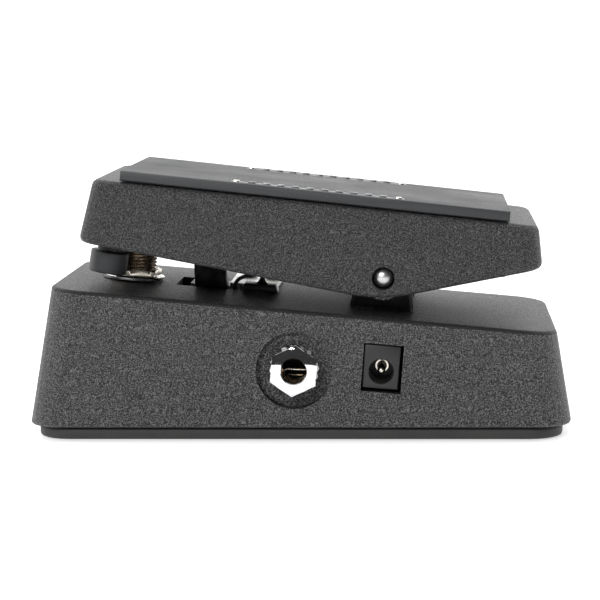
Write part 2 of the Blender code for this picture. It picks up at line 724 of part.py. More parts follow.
def make_gears():
    sector = prism("gear_sector", sector_outline(), SECTOR_Y[0], SECTOR_Y[1], BLACK_STEEL, TREADLE)
    sector.rotation_euler = (0.0, -TREADLE_TILT, 0.0)
    for number, angle in enumerate(SECTOR_SCREW_ANGLES, 1):
        x, z = polar(SECTOR_SCREW_RADIUS, math.radians(angle))
        start = (x, SECTOR_Y[0] - MM, z)
        end = (x, SECTOR_Y[1] + MM, z)
        hole = rod(f"sector_hole_{number}", start, end, 1.6 * MM, None, TREADLE, SMALL_ROUND)
        hole.rotation_euler = sector.rotation_euler
        cut(sector, hole)
        head = Matrix.Rotation(-TREADLE_TILT, 3, "Y") @ Vector((x, SECTOR_Y[0] - 1.9 * MM, z))
        pan_screw(f"sector_screw_{number}", head, (0, 1, 0), 8.8, ZINC, TREADLE, head=2.5, shank=1.25)
    gear = prism("pinion_gear", pinion_outline(), PINION_Y[0], PINION_Y[1], NYLON, PINION)
    drill(gear, "pinion_bore", mm(0, -8, 0), mm(0, 4, 0), 2.3 * MM, PINION, ROUND)
    profile = [(-5.4, 0.0), (-5.4, 1.6), (-5.0, 2.0), (0.9, 2.0), (0.9, 2.9), (10.4, 2.9), (10.4, 0.0)]
    turned("pot_shaft", profile, (0, 0, 0), (0, 1, 0), BRASS, PINION)


def make_potentiometer():
    """The potentiometer, its nut and the angle bracket that hangs it from the deck."""
    frame = frame_empty("pot_frame", PINION_CENTRE, DECK_TILT)
    profile = [(2.2, 0.0), (2.2, 3.9), (5.7, 3.9), (5.7, 6.5), (11.5, 6.5), (12.0, 6.0), (12.0, 0.0)]
    body = turned("pot_body", profile, (0, 0, 0), (0, 1, 0), ZINC, frame)
    drill(body, "pot_bore", mm(0, 0, 0), mm(0, 10.8, 0), 3.0 * MM, frame, ROUND)
    top = BRACKET_TOP / MM
    bracket = block("pot_bracket", (-7.5, 4.4, -7.5), (7.5, 5.4, top), ZINC, frame)
    join(bracket, block("bracket_flange", (-7.5, 4.4, top - 1.0), (7.5, 21.0, top), None, frame))
    drill(bracket, "bracket_hole", mm(0, 3, 0), mm(0, 7, 0), 4.2 * MM, frame, ROUND)
    nut = rod("pot_nut", mm(0, 2.6, 0), mm(0, 4.1, 0), 5.4 * MM, ZINC, frame, 6)
    drill(nut, "pot_nut_bore", mm(0, 2, 0), mm(0, 5, 0), 4.2 * MM, frame, ROUND)
    y = BRACKET_SCREW_Y / MM
    drill(bracket, "bracket_screw_hole", mm(0, y, top - 1.8), mm(0, y, top + 1.2), 1.6 * MM, frame)
    head_face = mm(0, y, top - 2.8)
    pan_screw("bracket_screw", head_face, (0, 0, 1), 5.4, ZINC, frame, head=2.5, shank=1.2, thickness=1.5)


# ---------------------------------------------------------------- deck fittings


def make_deck_plate():
    plate = block("deck_plate", DECK_PLATE_LOW, DECK_PLATE_HIGH, ZINC, DECK)
    for number, (x, y) in enumerate(DECK_PLATE_SCREWS, 1):
        drill(plate, f"deck_plate_hole_{number}", mm(x, y, -1), mm(x, y, 3), 1.6 * MM, DECK)
        head_face = mm(x, y, DECK_PLATE_HIGH[2] + 1.5)
        pan_screw(f"deck_plate_screw_{number}", head_face, (0, 0, -1), 6.2, ZINC, DECK, 2.3, 1.1, 1.2)


def make_rack_guide():
    """A nylon guide that fills the rest of the slot beside the sector."""
    guide = block("rack_guide", (-30.3, 0.5, -3.9), (-20.0, 12.1, 0.0), NYLON, DECK)
    flange = block("guide_flange", (-30.3, 0.5, -3.9), (-20.0, 14.2, -3.1), None, DECK)
    join(guide, flange)


def make_lead_clip():
    """A moulded clip on the deck: a low foot that widens downwards, and a stem with a round head."""
    low = (CLIP_TOP_X[0], CLIP_Y[0], CLIP_Z[0])
    high = (CLIP_TOP_X[1], CLIP_Y[1], CLIP_Z[1])
    clip = block("lead_clip", low, high, BLACK_PLASTIC, DECK)
    middle = sum(CLIP_TOP_X) / 2 * MM
    for vert in clip.data.vertices:
        if vert.co.z < 1 * MM:
            vert.co.x += math.copysign(0.9 * MM, vert.co.x - middle)
    profile = [(-0.5, 0.0), (-0.5, 1.7), (0.0, 1.7), (0.5, 1.0), (1.4, 0.6), (6.6, 0.6)]
    profile += [(6.6, 1.4), (8.4, 1.4), (8.8, 1.0), (8.8, 0.0)]
    join(clip, turned("clip_stem", profile, mm(*CLIP_STEM, CLIP_Z[1]), (0, 0, 1), None, DECK))


def make_clip_lead():
    """A thin lead that comes up through the deck and bends over to the clip's stem."""
    curve = bpy.data.curves.new("clip_lead", "CURVE")
    curve.dimensions = "3D"
    curve.bevel_depth = LEAD_RADIUS
    curve.bevel_resolution = 2
    curve.use_fill_caps = True
    x, y = (length / MM for length in LEAD_HOLE)
    points = [(x, y, -3.8), (x, y, 0.6), (x + 0.1, y, 1.5), (x + 0.6, y, 2.4), (x + 1.5, y + 0.1, 3.1)]
    points += [(x + 2.8, y + 0.2, 3.6), (x + 4.2, y + 0.3, 4.0), (x + 5.7, y + 0.4, 4.2)]
    spline = curve.splines.new("POLY")
    spline.points.add(len(points) - 1)
    for point, place in zip(spline.points, points):
        point.co = (*mm(*place), 1.0)
    lead = bpy.data.objects.new("clip_lead", curve)
    lead.parent = DECK
    curve.materials.append(BLACK_PLASTIC)
    PARTS.objects.link(lead)


# ---------------------------------------------------------------- treadle


def treadle_outline():
    """The side view of the treadle."""
    top = TREADLE_TOP
    return [(TREADLE_TOE_X, top), TREADLE_TOE_LOW, TREADLE_KNEE, TREADLE_HEEL_LOW, (TREADLE_HEEL_X, top)]


def cavity_outline():
    """The side view of the treadle's hollow, open below."""
    top = TREADLE_TOP - TREADLE_WALL
    depth = -12 * MM
    return [
        (TREADLE_TOE_X + TREADLE_WALL, top),
        (TREADLE_TOE_LOW[0] + TREADLE_WALL - 0.5 * MM, depth),
        (TREADLE_HEEL_LOW[0] - TREADLE_WALL + 1.5 * MM, depth),
        (TREADLE_HEEL_X - TREADLE_WALL, top),
    ]


def drafted_prism(name, outline, inset, look):
    """An outline whose sides lean out by the draft as they go down."""
    half = TREADLE_TOP_WIDTH / 2 - inset
    solid = prism(name, outline, -half, half, look, TREADLE)
    for vert in solid.data.vertices:
        lean = (TREADLE_TOP - vert.co.z) * math.tan(TREADLE_DRAFT)
        vert.co.y += math.copysign(lean, vert.co.y)
    return solid


def across(edge):
    first, second = (vert.co for vert in edge.verts)
    return abs(first.y - second.y) > 30 * MM


def upright_end(edge):
    first, second = (vert.co for vert in edge.verts)
    ends = min(abs(v.x) for v in (first, second)) > 30 * MM
    return ends and abs(first.z - second.z) > 8 * MM and not across(edge)


def make_treadle():
    treadle = drafted_prism("treadle", treadle_outline(), 0.0, POWDER)
    bevel_where(treadle, lambda e: across(e) and abs(e.verts[0].co.x) < 20 * MM, 7.0 * MM, 6)
    bevel_where(treadle, upright_end, 4.2 * MM, 4)
    round_edges(treadle, TREADLE_EDGE, 3, 35)
    cavity = drafted_prism("treadle_cavity", cavity_outline(), TREADLE_WALL, None)
    bevel_where(cavity, upright_end, 2.4 * MM, 3)
    cut(treadle, cavity)
    ceiling = TREADLE_TOP - 1.2 * MM
    for number, side in enumerate((-1, 1), 1):
        bumper_boss(treadle, number, side, ceiling)
        low, high = sorted((side * 23.5, side * 30.5))
        join(treadle, rod(f"axle_boss_{number}", mm(0, low, 0), mm(0, high, 0), 5.4 * MM, None, TREADLE))
        join(treadle, block(f"axle_web_{number}", (-4.0, low, 0.5), (4.0, high, 15.4), None, TREADLE))
    boolean(treadle, drafted_outside(), "INTERSECT")
    drill(treadle, "axle_hole", mm(0, -40, 0), mm(0, 40, 0), AXLE_RADIUS + 0.4 * MM, TREADLE, ROUND)
    treadle_posts(treadle, ceiling)


def bumper_boss(treadle, number, side, ceiling):
    """A leaning boss above a toe bumper, with a pilot hole for its screw."""
    foot = Vector((BUMPER_TOP.x, side * BUMPER_TOP.y, BUMPER_TOP.z)) - BUMPER_DOWN * GAP
    height = (ceiling - foot.z) / math.cos(BUMPER_LEAN)
    head = foot - BUMPER_DOWN * height
    join(treadle, rod(f"bumper_boss_{number}", foot, head, 3.3 * MM, None, TREADLE))
    start = foot + BUMPER_DOWN * 2 * MM
    end = foot - BUMPER_DOWN * 13 * MM
    drill(treadle, f"bumper_pilot_{number}", start, end, 1.5 * MM, TREADLE)


def treadle_posts(treadle, ceiling):
    """The posts for the striker and the heel stop, and the lug that carries the gear sector."""
    for name, x, foot, radius in (("striker_post", -66.0, 8.0, 4.5), ("heel_post", 27.0, 4.6, 4.0)):
        start = mm(x, 0, foot)
        join(treadle, rod(name, start, (start.x, 0, ceiling), radius * MM, None, TREADLE))
    join(treadle, block("sector_lug", (-50.0, 0.3, 0.2), (-41.0, 5.6, 15.4), None, TREADLE))
    for number, angle in enumerate(SECTOR_SCREW_ANGLES, 1):
        x, z = polar(SECTOR_SCREW_RADIUS, math.radians(angle))
        start = (x, -2 * MM, z)
        end = (x, 8 * MM, z)
        hole = rod(f"lug_hole_{number}", start, end, 1.55 * MM, None, TREADLE, SMALL_ROUND)
        hole.rotation_euler = (0.0, -TREADLE_TILT, 0.0)
        cut(treadle, hole)


def drafted_outside():
    """The treadle's outer form carried on downwards, to trim what its bosses leave outside the walls."""
    deeper = 30 * MM
    ends = []
    for top_x, (low_x, low_z) in ((TREADLE_TOE_X, TREADLE_TOE_LOW), (TREADLE_HEEL_X, TREADLE_HEEL_LOW)):
        slope = (low_x - top_x) / (TREADLE_TOP - low_z)
        ends.append([(top_x, TREADLE_TOP), (low_x + slope * deeper, low_z - deeper)])
    toe, heel = ends
    return drafted_prism("treadle_outside", toe + heel[::-1], 0.0, None)


def make_pad():
    base = TREADLE_TOP + GAP
    top = base + PAD_THICKNESS
    low = (PAD_TOE_X / MM, -PAD_WIDTH / MM / 2, base / MM)
    high = (PAD_HEEL_X / MM, PAD_WIDTH / MM / 2, top / MM)
    pad = block("tread_pad", low, high, RUBBER, TREADLE)
    round_edges(pad, 0.35 * MM, 1)
    for number, side in enumerate((-1, 1), 1):
        pad_strip(pad, number, side, top)


def pad_strip(pad, number, side, top):
    """An inlaid strip with raised dashes, in a groove of the pad."""
    y_low = side * STRIP_Y - STRIP_WIDTH / 2
    y_high = side * STRIP_Y + STRIP_WIDTH / 2
    room = GAP / 2
    groove_low = Vector((STRIP_X[0] - room, y_low - room, top - STRIP_DEPTH - GAP)) / MM
    groove_high = Vector((STRIP_X[1] + room, y_high + room, top + MM)) / MM
    cut(pad, block(f"strip_groove_{number}", groove_low, groove_high, None, TREADLE))
    pitch = (STRIP_X[1] - STRIP_X[0]) / STRIP_DASHES
    outline = [(STRIP_X[0], top - STRIP_DEPTH)]
    for dash in range(STRIP_DASHES):
        start = STRIP_X[0] + dash * pitch
        quarter = pitch / 4
        outline += [(start, top), (start + quarter, top)]
        outline += [(start + quarter, top + DASH_HEIGHT), (start + 3 * quarter, top + DASH_HEIGHT)]
        outline.append((start + 3 * quarter, top))
    outline += [(STRIP_X[1], top), (STRIP_X[1], top - STRIP_DEPTH)]
    prism(f"pad_strip_{number}", outline, y_low, y_high, SATIN_STRIP, TREADLE)


def make_axle():
    half = AXLE_HALF_LENGTH / MM
    radius = AXLE_RADIUS / MM
    profile = [(-half, 0.0), (-half + 0.25, radius - 1.1), (-half + 0.8, radius - 0.4), (-half + 1.5, radius)]
    profile += [(-along, distance) for along, distance in reversed(profile)]
    turned("hinge_axle", profile, (0, 0, 0), (0, 1, 0), CHROME, TREADLE)
    for number, side in enumerate((-1, 1), 1):
        ring = [(0.0, 2.6), (0.0, 4.3), (0.8, 4.3), (0.8, 2.6), (0.0, 2.6)]
        turned(f"axle_ring_{number}", ring, mm(0, side * 22.2, 0), (0, side, 0), BLACK_STEEL, TREADLE)
        bore = radius + 0.08
        sleeve = [(0.0, bore), (0.0, 4.0), (7.4, 4.0), (7.4, 5.4), (8.6, 5.4), (8.6, bore), (0.0, bore)]
        start = HINGE + mm(0, side * 11.9, 0)
        turned(f"hinge_bushing_{number}", sleeve, start, (0, side, 0), NYLON, None)


def make_treadle_feet():
    """What hangs under the treadle: toe bumpers, striker and heel stop."""
    height = BUMPER_HEIGHT / MM
    profile = [(0.0, 1.7), (0.0, 4.6), (0.3, 4.9), (height - 0.3, 4.9), (height, 4.6)]
    profile += [(height, 3.1), (3.4, 3.1), (3.4, 1.7), (0.0, 1.7)]
    for number, side in enumerate((-1, 1), 1):
        top = Vector((BUMPER_TOP.x, side * BUMPER_TOP.y, BUMPER_TOP.z))
        turned(f"bumper_{number}", profile, top, BUMPER_DOWN, RUBBER, TREADLE)
        head_face = top + BUMPER_DOWN * 5.3 * MM
        pan_screw(f"bumper_screw_{number}", head_face, -BUMPER_DOWN, 12.5, ZINC, TREADLE, head=2.7, shank=1.2)
    rod("switch_striker", mm(-66.0, 0, 7.7), mm(-66.0, 0, 5.7), 4.5 * MM, RUBBER, TREADLE)
    heel = [(0.0, 0.0), (0.0, 4.5), (3.4, 5.0), (4.0, 4.6), (4.0, 0.0)]
    turned("heel_stop", heel, mm(27.0, 0, 4.3), (0, 0, -1), RUBBER, TREADLE)


make_casing()
make_bottom()
make_jack("output_jack", -1)
make_jack("input_jack", 1)
make_dc_jack()
make_footswitch()
make_board()
make_gears()
make_potentiometer()
make_deck_plate()
make_rack_guide()
make_lead_clip()
make_clip_lead()
make_treadle()
make_pad()
make_axle()
make_treadle_feet()
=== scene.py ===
"""The looks of a compact rocker effects pedal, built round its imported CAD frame.

Lengths are in metres unless a comment says millimetres. Profiles, boxes and threads are given in
millimetres throughout. +X runs from toe to heel, +Y away from the camera.
"""

import math

import bmesh
import bpy
from mathutils import Matrix, Vector


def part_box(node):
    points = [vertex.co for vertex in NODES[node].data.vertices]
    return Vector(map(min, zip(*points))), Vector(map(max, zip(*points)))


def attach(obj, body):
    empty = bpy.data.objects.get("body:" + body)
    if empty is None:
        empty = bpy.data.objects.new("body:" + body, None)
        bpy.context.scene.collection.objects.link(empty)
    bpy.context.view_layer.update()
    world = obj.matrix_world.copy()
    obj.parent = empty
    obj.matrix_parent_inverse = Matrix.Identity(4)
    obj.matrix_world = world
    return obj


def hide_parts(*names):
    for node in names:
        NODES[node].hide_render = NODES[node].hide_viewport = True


MM = 0.001
ROUND = 64  # sides of a turned piece
LESS_ROUND = 48  # sides of a small or hidden turned piece
NUT_SIDES = 72  # steps round a hexagonal nut, so that its cone meets its flats in curves
PLATED_GRAIN = 0.000006  # depth of the relief of plated metal
MIRROR_GRAIN = 0.0000008  # and of a mirror-bright one

# Camera: place, degrees of yaw, pitch and roll, and lens length in millimetres
CAMERA_PLACE = Vector((33.4, -553.8, 103.2)) * MM
CAMERA_TURN = (3.574, 7.443, -0.68)
CAMERA_LENS = 127.16

# Tread, in millimetres in the treadle's frame
TREAD_X = (-68.2, 29.6)
TREAD_HALF_WIDTH = 27.8
TREAD_Z = (17.1, 19.7)
RIB_PITCH = 1.6
RIB_DEPTH = 0.16
STRIP_X = (-40.9, 3.2)
STRIP_Y = 23.6
STRIP_HALF_WIDTH = 1.6
DASH_HALF_WIDTH = 1.2
DASH_RISE = 0.3
DASH_PLACES = 12  # of which the first and the last hold a stud instead
STUD_LENGTH = 1.5

# Jacks, footswitch, axle and bumpers, in millimetres
JACK_BORE_RADIUS = 3.175
JACK_NUT_FLATS = 11.4
JACK_NUT_HEIGHT = 3.2
WASHER_TEETH = 16
DC_HOLE_DROP = 1.1
SWITCH_X = -45.4
SWITCH_WASHER_MIDDLE = 0.725  # above the deck
SWITCH_NUT_FOOT = 1.45
SWITCH_NUT_FLATS = 13.3
SWITCH_NUT_HEIGHT = 1.75
SWITCH_NUT_TURN = math.radians(20)
BUSHING_RADIUS = 5.9
PLUNGER_BORE = 4.2
AXLE_HALF_LENGTH = 30.2
BUMPER_TOP = (-70.8, 14.4, -2.35)
BUMPER_SCREW_DOWN = 5.3

# The two tilted frames of the object: the deck's and the treadle's
DECK_TILT = math.radians(5.27)
DC_TILT = math.radians(4.74)
TREADLE_TILT = math.radians(6.43)
BUMPER_LEAN = math.radians(3.5)  # off the treadle's own upright
# Painted shade: above the deck's height the casing, at its hinge ears, is painted near black, fading in
# over 0.4 mm; the same black paints the casing's rounded rim.
DECK_RISE = 32.7 * MM  # the height of the deck over the origin, and a hair more
EAR_SHADE_FADE = 0.4 * MM
PAINTED_SHADE_BLACK = (0.002, 0.002, 0.002)

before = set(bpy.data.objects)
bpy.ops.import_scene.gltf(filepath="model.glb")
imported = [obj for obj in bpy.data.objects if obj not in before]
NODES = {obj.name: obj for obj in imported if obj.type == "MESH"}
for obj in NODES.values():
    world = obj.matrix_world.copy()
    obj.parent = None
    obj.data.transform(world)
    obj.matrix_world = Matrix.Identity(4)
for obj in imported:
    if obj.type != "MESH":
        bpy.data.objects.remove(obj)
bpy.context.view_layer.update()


def middle(node):
    low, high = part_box(node)
    return (low + high) / 2


def tilted(origin, angle):
    return Matrix.Translation(origin) @ Matrix.Rotation(angle, 4, "Y")


HINGE = middle("hinge_axle")
DECK_UP = Vector((math.sin(DECK_TILT), 0, math.cos(DECK_TILT)))
SWITCH = middle("footswitch_washer") - SWITCH_WASHER_MIDDLE * MM * DECK_UP
SWITCH_FRAME = tilted(SWITCH, DECK_TILT)
DECK_FRAME = SWITCH_FRAME @ Matrix.Translation(Vector((-SWITCH_X, 0, 0)) * MM)
TREADLE_FRAME = tilted(HINGE, TREADLE_TILT)


# ---------------------------------------------------------------- camera, floor and light


def make_camera():
    yaw, pitch, roll = (math.radians(angle) for angle in CAMERA_TURN)
    forward = Vector(
        (-math.sin(yaw) * math.cos(pitch), math.cos(yaw) * math.cos(pitch), -math.sin(pitch))
    )
    right = forward.cross(Vector((0, 0, 1))).normalized()
    up = right.cross(forward)
    turned_right = math.cos(roll) * right + math.sin(roll) * up
    turned_up = math.cos(roll) * up - math.sin(roll) * right
    axes = Matrix((turned_right, turned_up, -forward)).transposed()
    data = bpy.data.cameras.new("camera")
    data.lens = CAMERA_LENS
    data.sensor_width = 36.0
    data.clip_start = 0.01
    camera = bpy.data.objects.new("camera", data)
    camera.matrix_world = Matrix.Translation(CAMERA_PLACE) @ axes.to_4x4()
    bpy.context.scene.collection.objects.link(camera)
    bpy.context.scene.camera = camera


def softbox(name, place, target, size, power):
    data = bpy.data.lights.new(name, "AREA")
    data.shape = "RECTANGLE"
    data.size, data.size_y = size
    data.energy = power
    light = bpy.data.objects.new(name, data)
    light.location = place
    light.rotation_mode = "QUATERNION"
    light.rotation_quaternion = (Vector(target) - Vector(place)).to_track_quat("-Z", "Y")
    bpy.context.scene.collection.objects.link(light)


def make_world():
    """Bright behind the object and dim behind the camera, as a white sweep in a studio is."""
    world = bpy.data.worlds.new("studio")
    world.use_nodes = True
    bpy.context.scene.world = world
    tree = world.node_tree
    place = tree.nodes.new("ShaderNodeTexCoord")
    split = tree.nodes.new("ShaderNodeSeparateXYZ")
    ramp = tree.nodes.new("ShaderNodeMapRange")
    ramp.interpolation_type = "SMOOTHSTEP"
    for name, value in (("From Min", -0.2), ("From Max", 0.15), ("To Min", 0.04), ("To Max", 1.6)):
        ramp.inputs[name].default_value = value
    tree.nodes["Background"].inputs["Color"].default_value = (1, 1, 1, 1)
    tree.links.new(place.outputs["Generated"], split.inputs[0])
    tree.links.new(split.outputs["Y"], ramp.inputs["Value"])
    tree.links.new(ramp.outputs[0], tree.nodes["Background"].inputs["Strength"])


def make_floor():
    bm = bmesh.new()
    bmesh.ops.create_grid(bm, x_segments=8, y_segments=8, size=1.3)
    mesh = bpy.data.meshes.new("floor")
    bm.to_mesh(mesh)
    bm.free()
    look = bpy.data.materials.new("white_sweep")
    look.use_nodes = True
    shader = look.node_tree.nodes["Principled BSDF"]
    shader.inputs["Base Color"].default_value = (0.9, 0.9, 0.9, 1)
    shader.inputs["Roughness"].default_value = 0.9
    shader.inputs["Emission Color"].default_value = (1, 1, 1, 1)
    shader.inputs["Emission Strength"].default_value = 0.5
    mesh.materials.append(look)
    floor = bpy.data.objects.new("floor", mesh)
    floor.location.z = -0.0002
    bpy.context.scene.collection.objects.link(floor)


bpy.context.scene.view_settings.view_transform = "Standard"
make_camera()
make_world()
make_floor()
softbox("front_softbox", (-0.4, -1.15, 0.68), (0, 0, 0.02), (0.6, 0.35), 10)
softbox("top_softbox", (0.0, 0.3, 1.6), (0, 0, 0.0), (2.4, 2.2), 9)


# ---------------------------------------------------------------- materials


class Paint:
    """A node material under construction. Its texture place is in metres, in its object's own frame."""

    def __init__(self, name, colour, roughness, metallic=0.0, **sockets):
        self.look = bpy.data.materials.new(name)
        self.look.use_nodes = True
        self.tree = self.look.node_tree
        self.shader = self.tree.nodes["Principled BSDF"]
        self.place = self.add("TexCoord").outputs["Object"]
        self.shader.inputs["Base Color"].default_value = (*colour, 1)
        self.shader.inputs["Roughness"].default_value = roughness
        self.shader.inputs["Metallic"].default_value = metallic
        for socket, value in sockets.items():
            self.shader.inputs[socket.replace("_", " ")].default_value = value
        self.normal = None

    def add(self, kind, **settings):
        node = self.tree.nodes.new("ShaderNode" + kind)
        for setting, value in settings.items():
            setattr(node, setting, value)
        return node

    def feed(self, socket, value):
        if isinstance(value, bpy.types.NodeSocket):
            self.tree.links.new(value, socket)
        else:
            socket.default_value = value

    def stretched(self, x, y, z):
        node = self.add("Mapping")
        self.feed(node.inputs["Vector"], self.place)
        node.inputs["Scale"].default_value = (x, y, z)
        return node.outputs[0]

    def noise(self, per_metre, detail, roughness=0.55, place=None):
        node = self.add("TexNoise")
        self.feed(node.inputs["Vector"], place or self.place)
        node.inputs["Scale"].default_value = per_metre
        node.inputs["Detail"].default_value = detail
        node.inputs["Roughness"].default_value = roughness
        return node.outputs["Fac"]

    def cells(self, per_metre):
        node = self.add("TexVoronoi")
        self.feed(node.inputs["Vector"], self.place)
        node.inputs["Scale"].default_value = per_metre
        return node.outputs["Distance"]

    def math(self, operation, first, second=0.0):
        node = self.add("Math", operation=operation)
        self.feed(node.inputs[0], first)
        self.feed(node.inputs[1], second)
        return node.outputs[0]

    def spread(self, value, low, high, to_low=0.0, to_high=1.0):
        """value, between low and high, stretched to the new range and clamped."""
        node = self.add("MapRange")
        for socket, item in (
            ("Value", value),
            ("From Min", low),
            ("From Max", high),
            ("To Min", to_low),
            ("To Max", to_high),
        ):
            self.feed(node.inputs[socket], item)
        return node.outputs[0]

    def mixed(self, share, first, second):
        node = self.add("Mix", data_type="RGBA")
        self.feed(node.inputs["Factor"], share)
        for socket, value in ((node.inputs[6], first), (node.inputs[7], second)):
            self.feed(socket, (*value, 1) if isinstance(value, tuple) else value)
        return node.outputs[2]

    def colour(self, value):
        self.feed(self.shader.inputs["Base Color"], value)

    def roughness(self, value):
        self.feed(self.shader.inputs["Roughness"], value)

    def relief(self, height, depth, strength=1.0):
        node = self.add("Bump")
        node.inputs["Distance"].default_value = depth
        node.inputs["Strength"].default_value = strength
        self.feed(node.inputs["Height"], height)
        if self.normal is not None:
            self.feed(node.inputs["Normal"], self.normal)
        self.normal = node.outputs[0]
        self.feed(self.shader.inputs["Normal"], self.normal)


def powder_coat(name, level, casing=False):
    """Charcoal wrinkle powder coat. On the casing, painted shade: the deck is darker than the sides, and
    the rounded rim and the hinge ears are near black.
    """
    paint = Paint(name, (0.04, 0.04, 0.041), 0.45, Specular_IOR_Level=0.4)
    grain = paint.noise(3300, 1, 0.5)
    grit = paint.noise(5200, 2, 0.7)
    cloud = paint.noise(60, 3, 0.5)
    dark = tuple(level * part for part in (0.004, 0.004, 0.0042))
    pale = tuple(level * part for part in (0.165, 0.166, 0.169))
    tone = paint.mixed(paint.spread(grain, 0.44, 0.66), dark, pale)
    tone = paint.mixed(paint.spread(cloud, 0.35, 0.7, 0.0, 0.15), tone, (0.03, 0.03, 0.031))
    if casing:
        facing = paint.add("SeparateXYZ")
        paint.feed(facing.inputs[0], paint.add("NewGeometry").outputs["True Normal"])
        level_part = paint.spread(facing.outputs["Z"], 0.9, 0.98)
        wrinkle = paint.noise(2600, 1, 0.5, paint.stretched(1.0, 0.22, 1.0))
        share = paint.spread(wrinkle, 0.4, 0.64)
        # Painted shade: the level deck is given a far darker tone than the sides, with a wrinkle pattern in
        # it.
        shaded_deck_tone = paint.mixed(share, (0.001, 0.001, 0.001), (0.045, 0.045, 0.046))
        # Painted shade: the rounded rim, whose faces lie between upright and level, is painted near black.
        tone = paint.mixed(paint.spread(facing.outputs["Z"], 0.2, 0.3), tone, PAINTED_SHADE_BLACK)
        tone = paint.mixed(level_part, tone, shaded_deck_tone)
        # Painted shade: whatever stands higher than the deck, the hinge ears, is painted near black, as
        # shaded under the treadle.
        split = paint.add("SeparateXYZ")
        paint.feed(split.inputs[0], paint.place)
        fall = paint.math("MULTIPLY", split.outputs["X"], math.tan(DECK_TILT))
        above = paint.math("ADD", split.outputs["Z"], fall)
        tone = paint.mixed(paint.spread(above, DECK_RISE, DECK_RISE + EAR_SHADE_FADE), tone, PAINTED_SHADE_BLACK)
    paint.colour(tone)
    paint.roughness(paint.spread(grit, 0.3, 0.7, 0.34, 0.52))
    paint.relief(grain, 0.00040, 1.0)
    paint.relief(grit, 0.00006, 0.6)
    if casing:
        paint.relief(paint.math("MULTIPLY", wrinkle, level_part), 0.00022, 1.0)
    return paint.look


def tread_rubber():
    """Satin moulded rubber with lengthwise drawn streaks and a little dust."""
    paint = Paint("tread_rubber", (0.05, 0.052, 0.055), 0.42)
    streak = paint.noise(900, 3, 0.6, paint.stretched(0.03, 1.0, 1.0))
    dust = paint.noise(2600, 2, 0.7)
    haze = paint.noise(45, 3, 0.55)
    tone = paint.mixed(paint.spread(streak, 0.3, 0.7), (0.014, 0.015, 0.0165), (0.030, 0.032, 0.0345))
    tone = paint.mixed(paint.spread(dust, 0.66, 0.78, 0.0, 0.35), tone, (0.15, 0.15, 0.15))
    paint.colour(tone)
    paint.roughness(paint.spread(haze, 0.3, 0.7, 0.36, 0.52))
    paint.relief(streak, 0.00004, 0.6)
    paint.relief(dust, 0.00003, 0.5)
    return paint.look


def moulded_rubber(name, dark, light, rough):
    """Plain moulded rubber: fine skin, faint bloom and specks of dust."""
    paint = Paint(name, light, rough)
    skin = paint.noise(3800, 3, 0.6)
    bloom = paint.noise(120, 4, 0.6)
    speck = paint.cells(700)
    tone = paint.mixed(paint.spread(bloom, 0.3, 0.7), dark, light)
    tone = paint.mixed(paint.spread(speck, 0.03, 0.0, 0.0, 0.6), tone, (0.2, 0.2, 0.19))
    paint.colour(tone)
    paint.roughness(paint.spread(bloom, 0.3, 0.7, rough - 0.08, rough + 0.08))
    paint.relief(skin, 0.00003, 0.6)
    return paint.look


def plated(name, colour, dull, rough, streaks=0.0, tint=None):
    """Plated metal: smudges, a tinge of another colour and fine lines along x when asked for."""
    paint = Paint(name, colour, rough, 1.0)
    smudge = paint.noise(240, 5, 0.6)
    grain = paint.noise(2400, 3, 0.6)
    tone = paint.mixed(paint.spread(smudge, 0.35, 0.75), colour, dull)
    if tint:
        tone = paint.mixed(paint.spread(paint.noise(90, 2), 0.45, 0.75, 0.0, 0.6), tone, tint)
    paint.colour(tone)
    paint.roughness(paint.spread(smudge, 0.3, 0.75, rough * 0.7, rough * 1.6))
    paint.relief(grain, PLATED_GRAIN if rough > 0.1 else MIRROR_GRAIN, 0.5)
    if streaks:
        line = paint.noise(3000, 2, 0.7, paint.stretched(0.02, 1.0, 1.0))
        paint.relief(line, streaks, 0.6)
    return paint.look


def turned_metal(name, colour, dull, rough):
    """Machined metal with fine rings round the object's own Z."""
    paint = Paint(name, colour, rough, 1.0)
    wave = paint.add("TexWave", wave_type="RINGS", rings_direction="Z")
    paint.feed(wave.inputs["Vector"], paint.place)
    wave.inputs["Scale"].default_value = 900
    wave.inputs["Distortion"].default_value = 1.2
    smudge = paint.noise(300, 4, 0.6)
    paint.colour(paint.mixed(paint.spread(smudge, 0.3, 0.75), colour, dull))
    paint.roughness(paint.spread(smudge, 0.3, 0.75, rough * 0.75, rough * 1.5))
    paint.relief(wave.outputs["Fac"], 0.000008, 0.5)
    return paint.look


def moulded_plastic(name, dark, light, rough):
    """Injection-moulded plastic: spark-eroded skin, flow marks and handling shine."""
    paint = Paint(name, dark, rough)
    skin = paint.noise(3200, 3, 0.65)
    flow = paint.noise(110, 3, 0.5, paint.stretched(1.0, 0.4, 1.0))
    paint.colour(paint.mixed(paint.spread(flow, 0.3, 0.7), dark, light))
    paint.roughness(paint.spread(flow, 0.3, 0.7, rough - 0.06, rough + 0.1))
    paint.relief(skin, 0.00002, 0.7)
    return paint.look


def circuit_mask():
    """Green solder mask over copper lanes, with its glass weave just showing."""
    paint = Paint("board_green", (0.01, 0.09, 0.035), 0.3, Coat_Weight=0.4)
    lanes = paint.add("TexBrick", offset=0.37, squash=0.6)
    paint.feed(lanes.inputs["Vector"], paint.place)
    lanes.inputs["Scale"].default_value = 130
    lanes.inputs["Mortar Size"].default_value = 0.09
    copper = lanes.outputs["Fac"]
    weave = paint.noise(1800, 1, 0.5, paint.stretched(1, 0.1, 1))
    base = paint.mixed(weave, (0.008, 0.075, 0.030), (0.014, 0.11, 0.045))
    paint.colour(paint.mixed(copper, base, (0.05, 0.22, 0.07)))
    paint.relief(copper, 0.00004, 0.8)
    paint.relief(weave, 0.00001, 0.4)
    return paint.look


